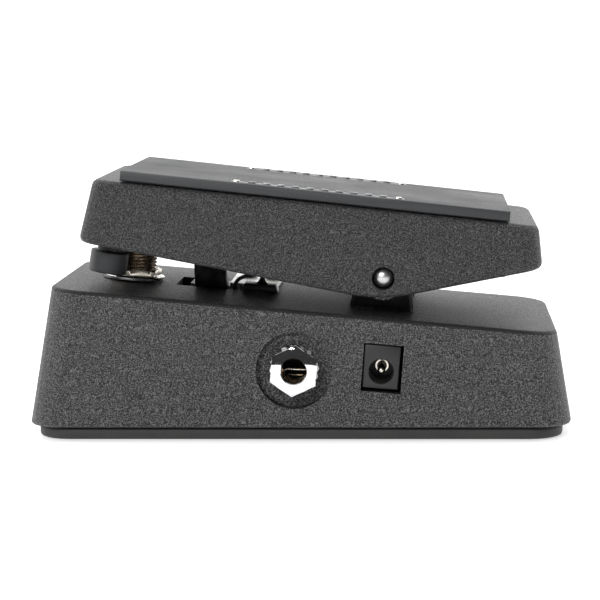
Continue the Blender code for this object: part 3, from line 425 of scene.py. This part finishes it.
def enamel(name, colour, dark, rough):
    """Glossy enamel or shrink sleeve with orange peel and faint scuffs."""
    paint = Paint(name, colour, rough, Coat_Weight=0.5)
    peel = paint.noise(900, 2, 0.5)
    scuff = paint.noise(500, 4, 0.7, paint.stretched(1, 1, 0.2))
    paint.colour(paint.mixed(paint.spread(scuff, 0.4, 0.75), colour, dark))
    paint.roughness(paint.spread(scuff, 0.35, 0.7, rough, rough + 0.15))
    paint.relief(peel, 0.00002, 0.5)
    return paint.look


POWDER = powder_coat("powder_coat", 0.92, casing=True)
# The treadle's coat is the casing's paint at a lower level: painted shade, as its sides are darker.
SHADED_TREADLE_POWDER = powder_coat("treadle_powder_coat_shaded", 0.58)
TREAD = tread_rubber()
SOLE = moulded_rubber("sole_rubber", (0.019, 0.018, 0.0175), (0.034, 0.033, 0.032), 0.6)
SLATE_RUBBER = moulded_rubber("slate_rubber", (0.027, 0.028, 0.030), (0.045, 0.047, 0.050), 0.45)
CHROME = plated("chrome", (0.86, 0.86, 0.87), (0.74, 0.75, 0.77), 0.045)
ZINC = plated("zinc_plate", (0.66, 0.66, 0.64), (0.52, 0.53, 0.52), 0.26, 0.00001, (0.60, 0.57, 0.46))
BLACK_STEEL = plated("blackened_steel", (0.030, 0.030, 0.031), (0.016, 0.016, 0.016), 0.5, 0.00002)
NICKEL = turned_metal("nickel", (0.70, 0.66, 0.59), (0.52, 0.47, 0.40), 0.17)
# The bushing's nickel is a darker, browner copy of the nut's: painted shade for the dark room reflected in
# the threads.
SHADED_THREAD_NICKEL = turned_metal("thread_nickel_shaded", (0.52, 0.45, 0.37), (0.30, 0.25, 0.20), 0.22)
BRASS = turned_metal("brass", (0.72, 0.52, 0.24), (0.50, 0.34, 0.15), 0.24)
AXLE_STEEL = turned_metal("axle_steel", (0.66, 0.66, 0.66), (0.46, 0.46, 0.46), 0.34)
BLACK_PLASTIC = moulded_plastic("black_plastic", (0.020, 0.020, 0.021), (0.032, 0.032, 0.033), 0.36)
SATIN_PLASTIC = moulded_plastic("satin_black_plastic", (0.009, 0.009, 0.0095), (0.013, 0.013, 0.0135), 0.42)
NYLON = moulded_plastic("nylon", (0.62, 0.60, 0.54), (0.74, 0.72, 0.66), 0.42)
BOARD = circuit_mask()
RED_ENAMEL = enamel("red_enamel", (0.42, 0.025, 0.018), (0.25, 0.015, 0.01), 0.22)
BLUE_SLEEVE = enamel("blue_sleeve", (0.02, 0.05, 0.22), (0.012, 0.03, 0.13), 0.28)
STRIP = plated("strip_black", (0.22, 0.22, 0.225), (0.10, 0.10, 0.105), 0.34, 0.00002)


# ---------------------------------------------------------------- shape helpers


def placed(name, mesh, look, place, sharp):
    """A smoothly shaded object in the scene, creased where faces turn by over sharp degrees."""
    mesh.shade_smooth()
    mesh.set_sharp_from_angle(angle=math.radians(sharp))
    mesh.materials.append(look)
    obj = bpy.data.objects.new(name, mesh)
    obj.matrix_world = place if place is not None else Matrix.Identity(4)
    bpy.context.scene.collection.objects.link(obj)
    return obj


def solid(name, bm, look, body, place=None, sharp=35, stands_for=()):
    """A finished piece from a bmesh, riding on its body and standing for its CAD nodes."""
    bmesh.ops.recalc_face_normals(bm, faces=bm.faces)
    mesh = bpy.data.meshes.new(name)
    bm.to_mesh(mesh)
    bm.free()
    obj = placed(name, mesh, look, place, sharp)
    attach(obj, body)
    if stands_for:
        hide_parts(*stands_for)
    return obj


def refined(node, look, body, name):
    """A CAD node's own shape, welded and smoothly shaded, under a new name."""
    bm = bmesh.new()
    bm.from_mesh(NODES[node].data)
    bmesh.ops.remove_doubles(bm, verts=bm.verts, dist=0.00001)
    bmesh.ops.dissolve_limit(bm, angle_limit=math.radians(0.3), verts=bm.verts, edges=bm.edges)
    for layer in list(bm.loops.layers.uv):
        bm.loops.layers.uv.remove(layer)
    piece = solid(name, bm, look, body, None, 38, (node,))
    modifier = piece.modifiers.new("even_normals", "WEIGHTED_NORMAL")
    modifier.keep_sharp = True
    modifier.weight = 80


def axis_place(origin, axis):
    return Matrix.Translation(origin) @ Vector(axis).to_track_quat("Z", "Y").to_matrix().to_4x4()


def ring_faces(bm, lower, upper):
    """Faces between two rings of vertices, either of which may be a single point."""
    count = max(len(lower), len(upper))
    for i in range(count):
        j = (i + 1) % count
        below, above = len(lower), len(upper)
        corners = [lower[i % below], lower[j % below], upper[j % above], upper[i % above]]
        kept = [v for k, v in enumerate(corners) if v not in corners[:k]]
        if len(kept) > 2:
            bm.faces.new(kept)


def evenly(sides):
    """The angles of a ring of vertices."""
    return [2 * math.pi * i / sides for i in range(sides)]


def round_point(radius, angle, along):
    """A point on a circle round Z, from millimetres."""
    return radius * MM * math.cos(angle), radius * MM * math.sin(angle), along * MM


def lathe_bmesh(profile, sides=ROUND, bm=None):
    """profile holds (distance along Z, radius) pairs in millimetres, and may close on itself."""
    bm = bm or bmesh.new()
    closed = profile[0] == profile[-1]
    rings = []
    for along, radius in profile[:-1] if closed else profile:
        if radius == 0:
            rings.append([bm.verts.new((0, 0, along * MM))])
            continue
        rings.append([bm.verts.new(round_point(radius, a, along)) for a in evenly(sides)])
    pairs = zip(rings, rings[1:] + ([rings[0]] if closed else []))
    for lower, upper in pairs:
        ring_faces(bm, lower, upper)
    return bm


def lathe(name, profile, place, look, body, stands_for=(), sides=ROUND):
    return solid(name, lathe_bmesh(profile, sides), look, body, place, 35, stands_for)


def hexagon_radius(angle, flats):
    """From the centre to a hexagon's outline in a direction, where a corner lies on the X axis."""
    turned = (angle + math.pi / 6) % (math.pi / 3) - math.pi / 6
    return flats / 2 / math.cos(math.pi / 6 - abs(turned))


def hex_nut(name, place, flats, height, bore, cone, look, body, stands_for, slot):
    """A hexagonal nut standing on z = 0. cone holds (radius, drop below the top) pairs."""
    angles = evenly(NUT_SIDES)

    def drop(radius):
        for (r1, d1), (r2, d2) in zip(cone, cone[1:]):
            if radius <= r2:
                return d1 + (d2 - d1) * max(0.0, radius - r1) / (r2 - r1)
        return cone[-1][1]

    bm = bmesh.new()

    def ring(radius_at, z_at):
        radii = [(radius_at(angle), angle) for angle in angles]
        return [bm.verts.new(round_point(radius, angle, z_at(radius))) for radius, angle in radii]

    def edge(angle):
        return hexagon_radius(angle, flats)

    def top(radius):
        return height - drop(radius)

    rings = [ring(lambda a: bore, lambda r: 0.25), ring(lambda a: bore, lambda r: height - 0.2)]
    rings.append(ring(lambda a: bore + 0.2, top))
    for share in (0.25, 0.5, 0.75, 0.96):
        rings.append(ring(lambda a, s=share: bore + 0.2 + (edge(a) - bore - 0.2) * s, top))
    rings.append(ring(edge, lambda r: top(r) - 0.06))
    rings.append(ring(edge, lambda r: 0.0))
    rings.append(ring(lambda a: bore + 0.25, lambda r: 0.0))
    for lower, upper in zip(rings, rings[1:] + rings[:1]):
        ring_faces(bm, lower, upper)
    return solid(name, bm, look, body, place, 25, stands_for)


def threaded_bmesh(radius, depth, pitch, start, end, bore):
    """A bushing with a helical thread from start to end, a plain lead-in and a bore; millimetres."""
    bm = bmesh.new()
    step = pitch / 6
    count = int((end - start) / step)
    rings = []

    def ring(z, radius_at):
        return [bm.verts.new(round_point(radius_at(angle), angle, z)) for angle in evenly(LESS_ROUND)]

    for k in range(count + 1):
        z = start + k * step

        def cut_depth(angle, z=z):
            phase = (z / pitch - angle / (2 * math.pi)) % 1.0
            groove = abs(2 * phase - 1)
            fade = min(1.0, (z - start) / pitch, (end - z) / pitch)
            return radius - depth * max(0.0, min(1.0, 1.25 * groove - 0.12)) * max(0.0, fade)

        rings.append(ring(z, cut_depth))
    rings.append(ring(end + 0.3, lambda a: radius - 0.45))
    rings.append(ring(end + 0.3, lambda a: bore + 0.25))
    rings.append(ring(end + 0.05, lambda a: bore))
    rings.append(ring(start, lambda a: bore))
    for lower, upper in zip(rings, rings[1:] + rings[:1]):
        ring_faces(bm, lower, upper)
    return bm


def box_bmesh(low, high, bevel=0.0, segments=2, bm=None):
    """A box between two corners in millimetres, with all its edges rounded when a bevel is given."""
    bm = bm or bmesh.new()
    low, high = Vector(low) * MM, Vector(high) * MM
    made = bmesh.ops.create_cube(bm, size=1.0)["verts"]
    bmesh.ops.scale(bm, vec=high - low, verts=made)
    bmesh.ops.translate(bm, vec=(low + high) / 2, verts=made)
    if bevel:
        edges = list({edge for vert in made for edge in vert.link_edges})
        width = bevel * MM
        bmesh.ops.bevel(bm, geom=edges, offset=width, segments=segments, profile=0.5, affect="EDGES")
    return bm


def carved(name, bm, cutters):
    """The mesh of a bmesh with others cut out of it, exactly."""
    scene = bpy.context.scene.collection
    helpers = []
    for i, shape in enumerate([bm] + cutters):
        bmesh.ops.recalc_face_normals(shape, faces=shape.faces)
        mesh = bpy.data.meshes.new(f"{name}_helper_{i}")
        shape.to_mesh(mesh)
        shape.free()
        helper = bpy.data.objects.new(mesh.name, mesh)
        scene.objects.link(helper)
        helpers.append(helper)
    for helper in helpers[1:]:
        modifier = helpers[0].modifiers.new("cut", "BOOLEAN")
        modifier.operation = "DIFFERENCE"
        modifier.solver = "EXACT"
        modifier.object = helper
    bpy.context.view_layer.update()
    graph = bpy.context.evaluated_depsgraph_get()
    made = bpy.data.meshes.new_from_object(helpers[0].evaluated_get(graph))
    result = bmesh.new()
    result.from_mesh(made)
    for helper in helpers:
        bpy.data.objects.remove(helper, do_unlink=True)
    bpy.data.meshes.remove(made)
    return result


# ---------------------------------------------------------------- pieces


def make_castings():
    refined("casing", POWDER, "base", "casing_shell")
    refined("treadle", SHADED_TREADLE_POWDER, "treadle", "treadle_shell")


def make_tread():
    """The rubber tread with fine lengthwise ribs, grooved near both long edges for the inlaid strips."""
    half = TREAD_HALF_WIDTH
    low, top = TREAD_Z
    bm = bmesh.new()
    outline = [(-half, low + 0.3), (-half, top - 0.35), (-half + 0.1, top - 0.1), (-half + 0.35, top)]
    ribs = int((2 * half - 2.4) / RIB_PITCH)
    start = -ribs * RIB_PITCH / 2
    for i in range(ribs):
        y = start + i * RIB_PITCH
        floor = top - RIB_DEPTH
        outline += [(y + 0.2, top), (y + 0.36, floor), (y + 0.56, floor), (y + 0.72, top)]
    outline += [(half - 0.35, top), (half - 0.1, top - 0.1), (half, top - 0.35), (half, low + 0.3)]
    outline += [(half - 0.3, low), (-half + 0.3, low)]
    ends = [[bm.verts.new((x * MM, y * MM, z * MM)) for y, z in outline] for x in TREAD_X]
    ring_faces(bm, ends[0], ends[1])
    bm.faces.new(ends[0])
    bm.faces.new(ends[1])
    grooves = []
    for side in (-1, 1):
        y = side * STRIP_Y
        reach = STRIP_HALF_WIDTH + 0.15
        groove_low = (STRIP_X[0] - 0.15, y - reach, top - 1.3)
        grooves.append(box_bmesh(groove_low, (STRIP_X[1] + 0.15, y + reach, top + 1.0)))
    tread = carved("tread", bm, grooves)
    solid("tread_ribbed", tread, TREAD, "treadle", TREADLE_FRAME, 30, ("tread_pad",))
    for number, side in enumerate((-1, 1), 1):
        make_strip(number, side * STRIP_Y, top)


def make_strip(number, y, top):
    """An inlaid strip with a row of plain raised dashes and a bright square stud at each end."""
    first, last = STRIP_X
    near, far = y - DASH_HALF_WIDTH, y + DASH_HALF_WIDTH
    bar_low = (first, y - STRIP_HALF_WIDTH, top - 1.0)
    bar = box_bmesh(bar_low, (last, y + STRIP_HALF_WIDTH, top - 0.02), 0.12, 2)
    pitch = (last - first) / DASH_PLACES
    for dash in range(1, DASH_PLACES - 1):
        start = first + (dash + 0.25) * pitch
        dash_high = (start + pitch / 2, far, top + DASH_RISE)
        box_bmesh((start, near, top - 0.3), dash_high, 0.14, 2, bar)
    nodes = (f"pad_strip_{number}",)
    solid(f"strip_{number}", bar, STRIP, "treadle", TREADLE_FRAME, 35, nodes)
    studs = bmesh.new()
    for x in (-40.0, 1.0):
        box_bmesh((x, near, top - 0.6), (x + STUD_LENGTH, far, top + DASH_RISE), 0.2, 2, studs)
    solid(f"strip_{number}_studs", studs, NICKEL, "treadle", TREADLE_FRAME, 35)


def jack_place(side):
    """The frame of a jack: Z out of the wall, at the middle of the nut's outer face."""
    nut = "output_jack_nut" if side < 0 else "input_jack_nut"
    low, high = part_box(nut)
    face = (low + high) / 2
    face.y = low.y if side < 0 else high.y
    out = Vector((0, side, 0))
    right = DECK_UP.cross(out)
    axes = Matrix((right, DECK_UP, out)).transposed()
    return Matrix.Translation(face) @ axes.to_4x4()


def make_jack(prefix, side):
    place = jack_place(side)
    foot = place @ Matrix.Translation((0, 0, -JACK_NUT_HEIGHT * MM))
    corner_up = foot @ Matrix.Rotation(math.radians(90), 4, "Z")
    cone = [(3.2, 0.0), (3.6, 0.0), (5.7, 0.45), (6.6, 0.85)]
    sizes = (JACK_NUT_FLATS, JACK_NUT_HEIGHT, JACK_BORE_RADIUS)
    hex_nut(prefix + "_hex_nut", corner_up, *sizes, cone, CHROME, "base", (prefix + "_nut",), "chrome")
    star_washer(prefix, place)
    jack_housing(prefix, place)
    jack_springs(prefix, place)


def star_washer(prefix, place):
    """The toothed washer under a jack's nut."""
    teeth = bmesh.new()
    inner, outer = [], []
    for i in range(WASHER_TEETH * 4):
        angle = 2 * math.pi * i / (WASHER_TEETH * 4)
        phase = i % 4
        radius = 6.15 if phase in (1, 2) else 5.75
        lift = (0.28, 0.36, 0.2, 0.28)[phase]
        outer.append((radius * math.cos(angle), radius * math.sin(angle), lift))
        inner.append((4.8 * math.cos(angle), 4.8 * math.sin(angle), 0.28))
    rings = []
    for points, rise in ((inner, -0.2), (inner, 0.2), (outer, 0.2), (outer, -0.2)):
        rings.append([teeth.verts.new((x * MM, y * MM, (z + rise) * MM)) for x, y, z in points])
    for lower, upper in zip(rings, rings[1:] + rings[:1]):
        ring_faces(teeth, lower, upper)
    washer_place = place @ Matrix.Translation((0, 0, (-JACK_NUT_HEIGHT - 0.75) * MM))
    solid(prefix + "_star_washer", teeth, ZINC, "base", washer_place, 30, (prefix + "_washer",))


def jack_housing(prefix, place):
    """A jack's box and barrel. Local z runs out of the wall from the nut's face, and y up."""
    bore = JACK_BORE_RADIUS
    shell = box_bmesh((-8.0, -7.4, -28.5), (8.0, 8.0, -7.5), 0.5, 2)
    chamber = lathe_bmesh([(-25.0, 0.0), (-25.0, 5.4), (-9.2, 5.4), (-9.2, 0.0)], LESS_ROUND)
    mouth = lathe_bmesh([(-12.0, 0.0), (-12.0, bore), (1.0, bore), (1.0, 0.0)], LESS_ROUND)
    body = carved(prefix, shell, [chamber, mouth])
    nodes = (prefix + "_body",)
    solid(prefix + "_housing", body, BLACK_PLASTIC, "base", place, 35, nodes)
    barrel = [(-8.4, bore), (-8.4, 4.35), (-1.9, 4.35), (-1.7, 4.15), (-1.7, bore), (-8.4, bore)]
    lathe(prefix + "_barrel", barrel, place, BRASS, "base", sides=LESS_ROUND)


def jack_springs(prefix, place):
    """Two bent contact leaves beside the bore."""
    springs = bmesh.new()
    for leaf, (height_at, reach) in enumerate(((-1.15, -2.2), (-2.5, -1.9))):
        path = [(4.6, height_at + 0.45), (3.0, height_at + 0.3), (0.6, height_at + 0.1)]
        path += [(reach, height_at), (reach - 0.5, height_at - 0.45)]
        sides = []
        for x, y in path:
            sides.append(
                [
                    springs.verts.new((x * MM, (y + dy) * MM, z * MM))
                    for dy, z in ((-0.12, -12.6), (-0.12, -10.2), (0.12, -10.2), (0.12, -12.6))
                ]
            )
        for lower, upper in zip(sides, sides[1:]):
            ring_faces(springs, lower, upper)
        springs.faces.new(sides[0])
        springs.faces.new(sides[-1])
    solid(prefix + "_springs", springs, NICKEL, "base", place, 30, (prefix + "_contact",))


def make_dc_socket():
    low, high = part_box("dc_jack")
    face = Vector(((low.x + high.x) / 2, low.y, (low.z + high.z) / 2))
    across = Vector((math.cos(DC_TILT), 0, -math.sin(DC_TILT)))
    up = Vector((math.sin(DC_TILT), 0, math.cos(DC_TILT)))
    axes = Matrix((across, up, Vector((0, -1, 0)))).transposed()
    place = Matrix.Translation(face) @ axes.to_4x4()
    shell = box_bmesh((-4.5, -5.5, -14.0), (4.5, 5.5, 0.0), 0.35, 3)
    profile = [(-10.5, 0.0), (-10.5, 3.05), (-0.18, 3.05), (0.4, 3.6), (0.4, 0.0)]
    hole = lathe_bmesh(profile, LESS_ROUND)
    bmesh.ops.translate(hole, vec=(0, -DC_HOLE_DROP * MM, 0), verts=hole.verts)
    body = carved("dc", shell, [hole])
    solid("dc_socket_body", body, SATIN_PLASTIC, "base", place, 35, ("dc_jack",))
    pin_place = place @ Matrix.Translation((0, -DC_HOLE_DROP * MM, 0))
    pin = [(-12.0, 0.0), (-12.0, 1.0), (-2.6, 1.0), (-2.1, 0.85), (-1.7, 0.5), (-1.55, 0.0)]
    lathe("dc_socket_pin", pin, pin_place, NICKEL, "base", ("dc_jack_pin",), 32)
    collar = [(-10.4, 1.25), (-10.4, 1.75), (-9.6, 1.75), (-9.5, 1.65), (-9.5, 1.25), (-10.4, 1.25)]
    lathe("dc_socket_collar", collar, pin_place, NICKEL, "base", sides=32)


def make_footswitch():
    place = SWITCH_FRAME
    bm = threaded_bmesh(BUSHING_RADIUS, 0.5, 0.88, 1.0, 8.9, PLUNGER_BORE)
    solid("switch_bushing", bm, SHADED_THREAD_NICKEL, "base", place, 50)
    box = box_bmesh((-8.6, -8.6, -20.0), (8.6, 8.6, -6.6), 0.4, 2)
    for row in (-5.0, 0.0, 5.0):
        for column in (-5.2, 5.2):
            box_bmesh((row - 1.0, column - 0.3, -23.5), (row + 1.0, column + 0.3, -19.0), 0, 1, box)
    lathe_bmesh([(-7.0, 0.0), (-7.0, 5.8), (1.6, 5.8), (1.6, 0.0)], LESS_ROUND, box)
    solid("switch_box", box, BLACK_PLASTIC, "base", place, 35, ("footswitch_body",))
    nut_cone = [(4.0, 0.0), (6.5, 0.0), (7.0, 0.24), (7.8, 0.7)]
    foot = place @ Matrix.Translation((0, 0, SWITCH_NUT_FOOT * MM))
    turned_nut = foot @ Matrix.Rotation(SWITCH_NUT_TURN, 4, "Z")
    sizes = (SWITCH_NUT_FLATS, SWITCH_NUT_HEIGHT, BUSHING_RADIUS + 0.05)
    hex_nut("switch_nut", turned_nut, *sizes, nut_cone, NICKEL, "base", ("footswitch_nut",), "nickel")
    washer = [(0.3, 6.2), (0.3, 8.0), (0.38, 8.1), (1.05, 8.1), (1.15, 7.98), (1.15, 6.2), (0.3, 6.2)]
    lathe("switch_washer", washer, place, CHROME, "base", ("footswitch_washer",))
    plunger = [(-10.0, 0.0), (-10.0, 4.1), (12.5, 4.1), (13.1, 3.95), (13.5, 3.6), (13.9, 2.6)]
    plunger += [(14.12, 1.3), (14.2, 0.0)]
    lathe("switch_button", plunger, place, NICKEL, "plunger", ("footswitch_plunger",))


def make_axle():
    half = AXLE_HALF_LENGTH
    dome = [(half, 0.0), (half - 0.04, 0.6), (half - 0.2, 1.2), (half - 0.45, 1.7), (half - 0.85, 2.1)]
    dome += [(half - 1.3, 2.33), (half - 1.9, 2.45)]
    profile = [(-z, r) for z, r in dome] + [(z, r) for z, r in reversed(dome)]
    place = axis_place(HINGE, (0, 1, 0))
    lathe("hinge_rod", profile, place, AXLE_STEEL, "treadle", ("hinge_axle",))


def bumper_axis():
    """The way down a toe bumper."""
    lean = TREADLE_TILT + BUMPER_LEAN
    return Vector((-math.sin(lean), 0, -math.cos(lean)))


def bumper_top(side):
    x, y, z = BUMPER_TOP
    return TREADLE_FRAME @ (Vector((x, side * y, z)) * MM)


def make_rubber_feet():
    profile = [(0.0, 1.7), (0.0, 4.6), (0.06, 4.78), (0.2, 4.87), (0.4, 4.9), (5.05, 4.9), (5.3, 4.86)]
    profile += [(5.44, 4.76), (5.5, 4.6), (5.5, 3.1), (3.4, 3.1), (3.4, 1.7), (0.0, 1.7)]
    for number, side in ((1, -1), (2, 1)):
        place = axis_place(bumper_top(side), bumper_axis())
        nodes = (f"bumper_{number}",)
        lathe(f"toe_bumper_{number}", profile, place, SLATE_RUBBER, "treadle", nodes)
    heel = [(0.0, 0.0), (0.0, 4.3), (0.3, 4.5), (3.2, 5.0), (3.7, 4.9), (4.0, 4.5), (4.0, 0.0)]
    heel_down = TREADLE_FRAME.to_3x3() @ Vector((0, 0, -1))
    heel_place = axis_place(TREADLE_FRAME @ (Vector((27.0, 0, 4.3)) * MM), heel_down)
    lathe("heel_rest", heel, heel_place, SLATE_RUBBER, "treadle", ("heel_stop",))
    refined("switch_striker", SLATE_RUBBER, "treadle", "striker_pad")


def screw_bmesh(head, shank, length, thickness):
    """A pan-head screw along +Z from its head's face, with a cross recess and a cut thread."""
    profile = [(0.0, 0.0), (0.0, head - 0.9), (0.12, head - 0.5), (0.4, head - 0.15), (0.8, head)]
    profile += [(thickness - 0.1, head), (thickness, head - 0.1), (thickness, shank)]
    pitch = 0.6
    along = thickness + 0.3
    while along < length - 1.2:
        profile += [(along, shank - 0.18), (along + pitch / 2, shank)]
        along += pitch
    profile += [(length - 0.7, shank - 0.2), (length, shank - 0.7), (length, 0.0)]
    slots = [
        box_bmesh((-head * 0.55, -0.33, -1.0), (head * 0.55, 0.33, 0.75)),
        box_bmesh((-0.33, -head * 0.55, -1.0), (0.33, head * 0.55, 0.75)),
    ]
    return carved("screw", lathe_bmesh(profile, 32), slots)


def make_screws():
    """The base, bumper and deck-plate screws in place, as cross-recessed ones."""
    jobs = []
    for number in range(1, 5):
        low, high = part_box(f"base_screw_{number}")
        face = Vector(((low.x + high.x) / 2, (low.y + high.y) / 2, low.z))
        jobs.append((f"base_screw_{number}", face, Vector((0, 0, 1)), (2.9, 1.4, 11.0, 1.6), "base"))
    for number, side in ((1, -1), (2, 1)):
        face = bumper_top(side) + bumper_axis() * BUMPER_SCREW_DOWN * MM
        jobs.append((f"bumper_screw_{number}", face, -bumper_axis(), (2.7, 1.2, 12.5, 1.6), "treadle"))
    for number, x in ((1, -16.2), (2, -9.8)):
        face = DECK_FRAME @ (Vector((x, 19.0, 2.6)) * MM)
        jobs.append((f"deck_plate_screw_{number}", face, -DECK_UP, (2.3, 1.1, 6.2, 1.2), "base"))
    for node, face, axis, sizes, body in jobs:
        bm = screw_bmesh(*sizes)
        name = node.replace("screw", "cross_screw")
        solid(name, bm, ZINC, body, axis_place(face, axis), 30, (node,))


def make_clip():
    """A low moulded foot that widens downwards, and a stem with a round head rising from it."""
    foot = box_bmesh((-15.6, -6.2, 0.3), (-7.4, -0.1, 2.0), 0.22, 2)
    for vert in foot.verts:
        widening = 0.9 * MM * (2.0 * MM - vert.co.z) / (1.7 * MM)
        vert.co.x += math.copysign(widening, vert.co.x + 11.5 * MM)
    profile = [(-0.6, 0.0), (-0.6, 1.9), (0.0, 1.7), (0.15, 1.45), (0.5, 1.05), (0.9, 0.8)]
    profile += [(1.5, 0.6), (6.6, 0.6), (6.8, 1.2), (7.0, 1.4), (8.3, 1.4), (8.7, 1.1)]
    profile += [(8.8, 0.6), (8.8, 0.0)]
    stem = lathe_bmesh(profile, 40)
    bmesh.ops.translate(stem, vec=Vector((-11.2, -2.6, 2.0)) * MM, verts=stem.verts)
    mesh = bpy.data.meshes.new("stem_helper")
    stem.to_mesh(mesh)
    stem.free()
    foot.from_mesh(mesh)
    bpy.data.meshes.remove(mesh)
    nodes = ("lead_clip",)
    solid("wire_clip", foot, BLACK_PLASTIC, "base", DECK_FRAME, 35, nodes)


def make_deck_fittings():
    refined("deck_plate", ZINC, "base", "deck_strip")
    make_clip()
    steps = [(0, 0, -3.8), (0, 0, -1.5), (0, 0, 0.6), (0.1, 0, 1.5), (0.6, 0, 2.4), (1.5, 0.1, 3.1)]
    steps += [(2.8, 0.2, 3.6), (4.2, 0.3, 4.0), (5.7, 0.4, 4.2)]
    curve = bpy.data.curves.new("short_wire", "CURVE")
    curve.dimensions = "3D"
    curve.bevel_depth = 0.5 * MM
    curve.bevel_resolution = 6
    curve.resolution_u = 6
    curve.use_fill_caps = True
    spline = curve.splines.new("NURBS")
    spline.points.add(len(steps) - 1)
    for point, (x, y, z) in zip(spline.points, steps):
        point.co = (*(DECK_FRAME @ (Vector((x - 18.2, y - 3.0, z)) * MM)), 1.0)
    spline.use_endpoint_u = True
    curve.materials.append(BLACK_PLASTIC)
    wire = bpy.data.objects.new("short_wire", curve)
    bpy.context.scene.collection.objects.link(wire)
    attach(wire, "base")
    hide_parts("clip_lead")


def dress(look, *nodes):
    """A better material on CAD nodes whose shape stays."""
    for node in nodes:
        obj = NODES[node]
        obj.data.materials.clear()
        obj.data.materials.append(look)


make_castings()
make_tread()
make_jack("output_jack", -1)
make_jack("input_jack", 1)
make_dc_socket()
make_footswitch()
make_axle()
make_rubber_feet()
make_screws()
make_deck_fittings()
refined("sole", SOLE, "base", "sole_pad")
dress(ZINC, "base_plate", "footswitch_inner_nut", "pot_body", "pot_nut", "pot_bracket", "bracket_screw")
dress(ZINC, "board_screw_1", "board_screw_2", "sector_screw_1", "sector_screw_2")
dress(BLACK_STEEL, "gear_sector", "axle_ring_1", "axle_ring_2")
dress(NYLON, "rack_guide", "pinion_gear", "hinge_bushing_1", "hinge_bushing_2")
dress(BRASS, "pot_shaft")
dress(BOARD, "circuit_board")
dress(RED_ENAMEL, "inductor")
dress(BLUE_SLEEVE, "capacitor_1", "capacitor_2")
dress(BLACK_PLASTIC, "transistor_1", "transistor_2")
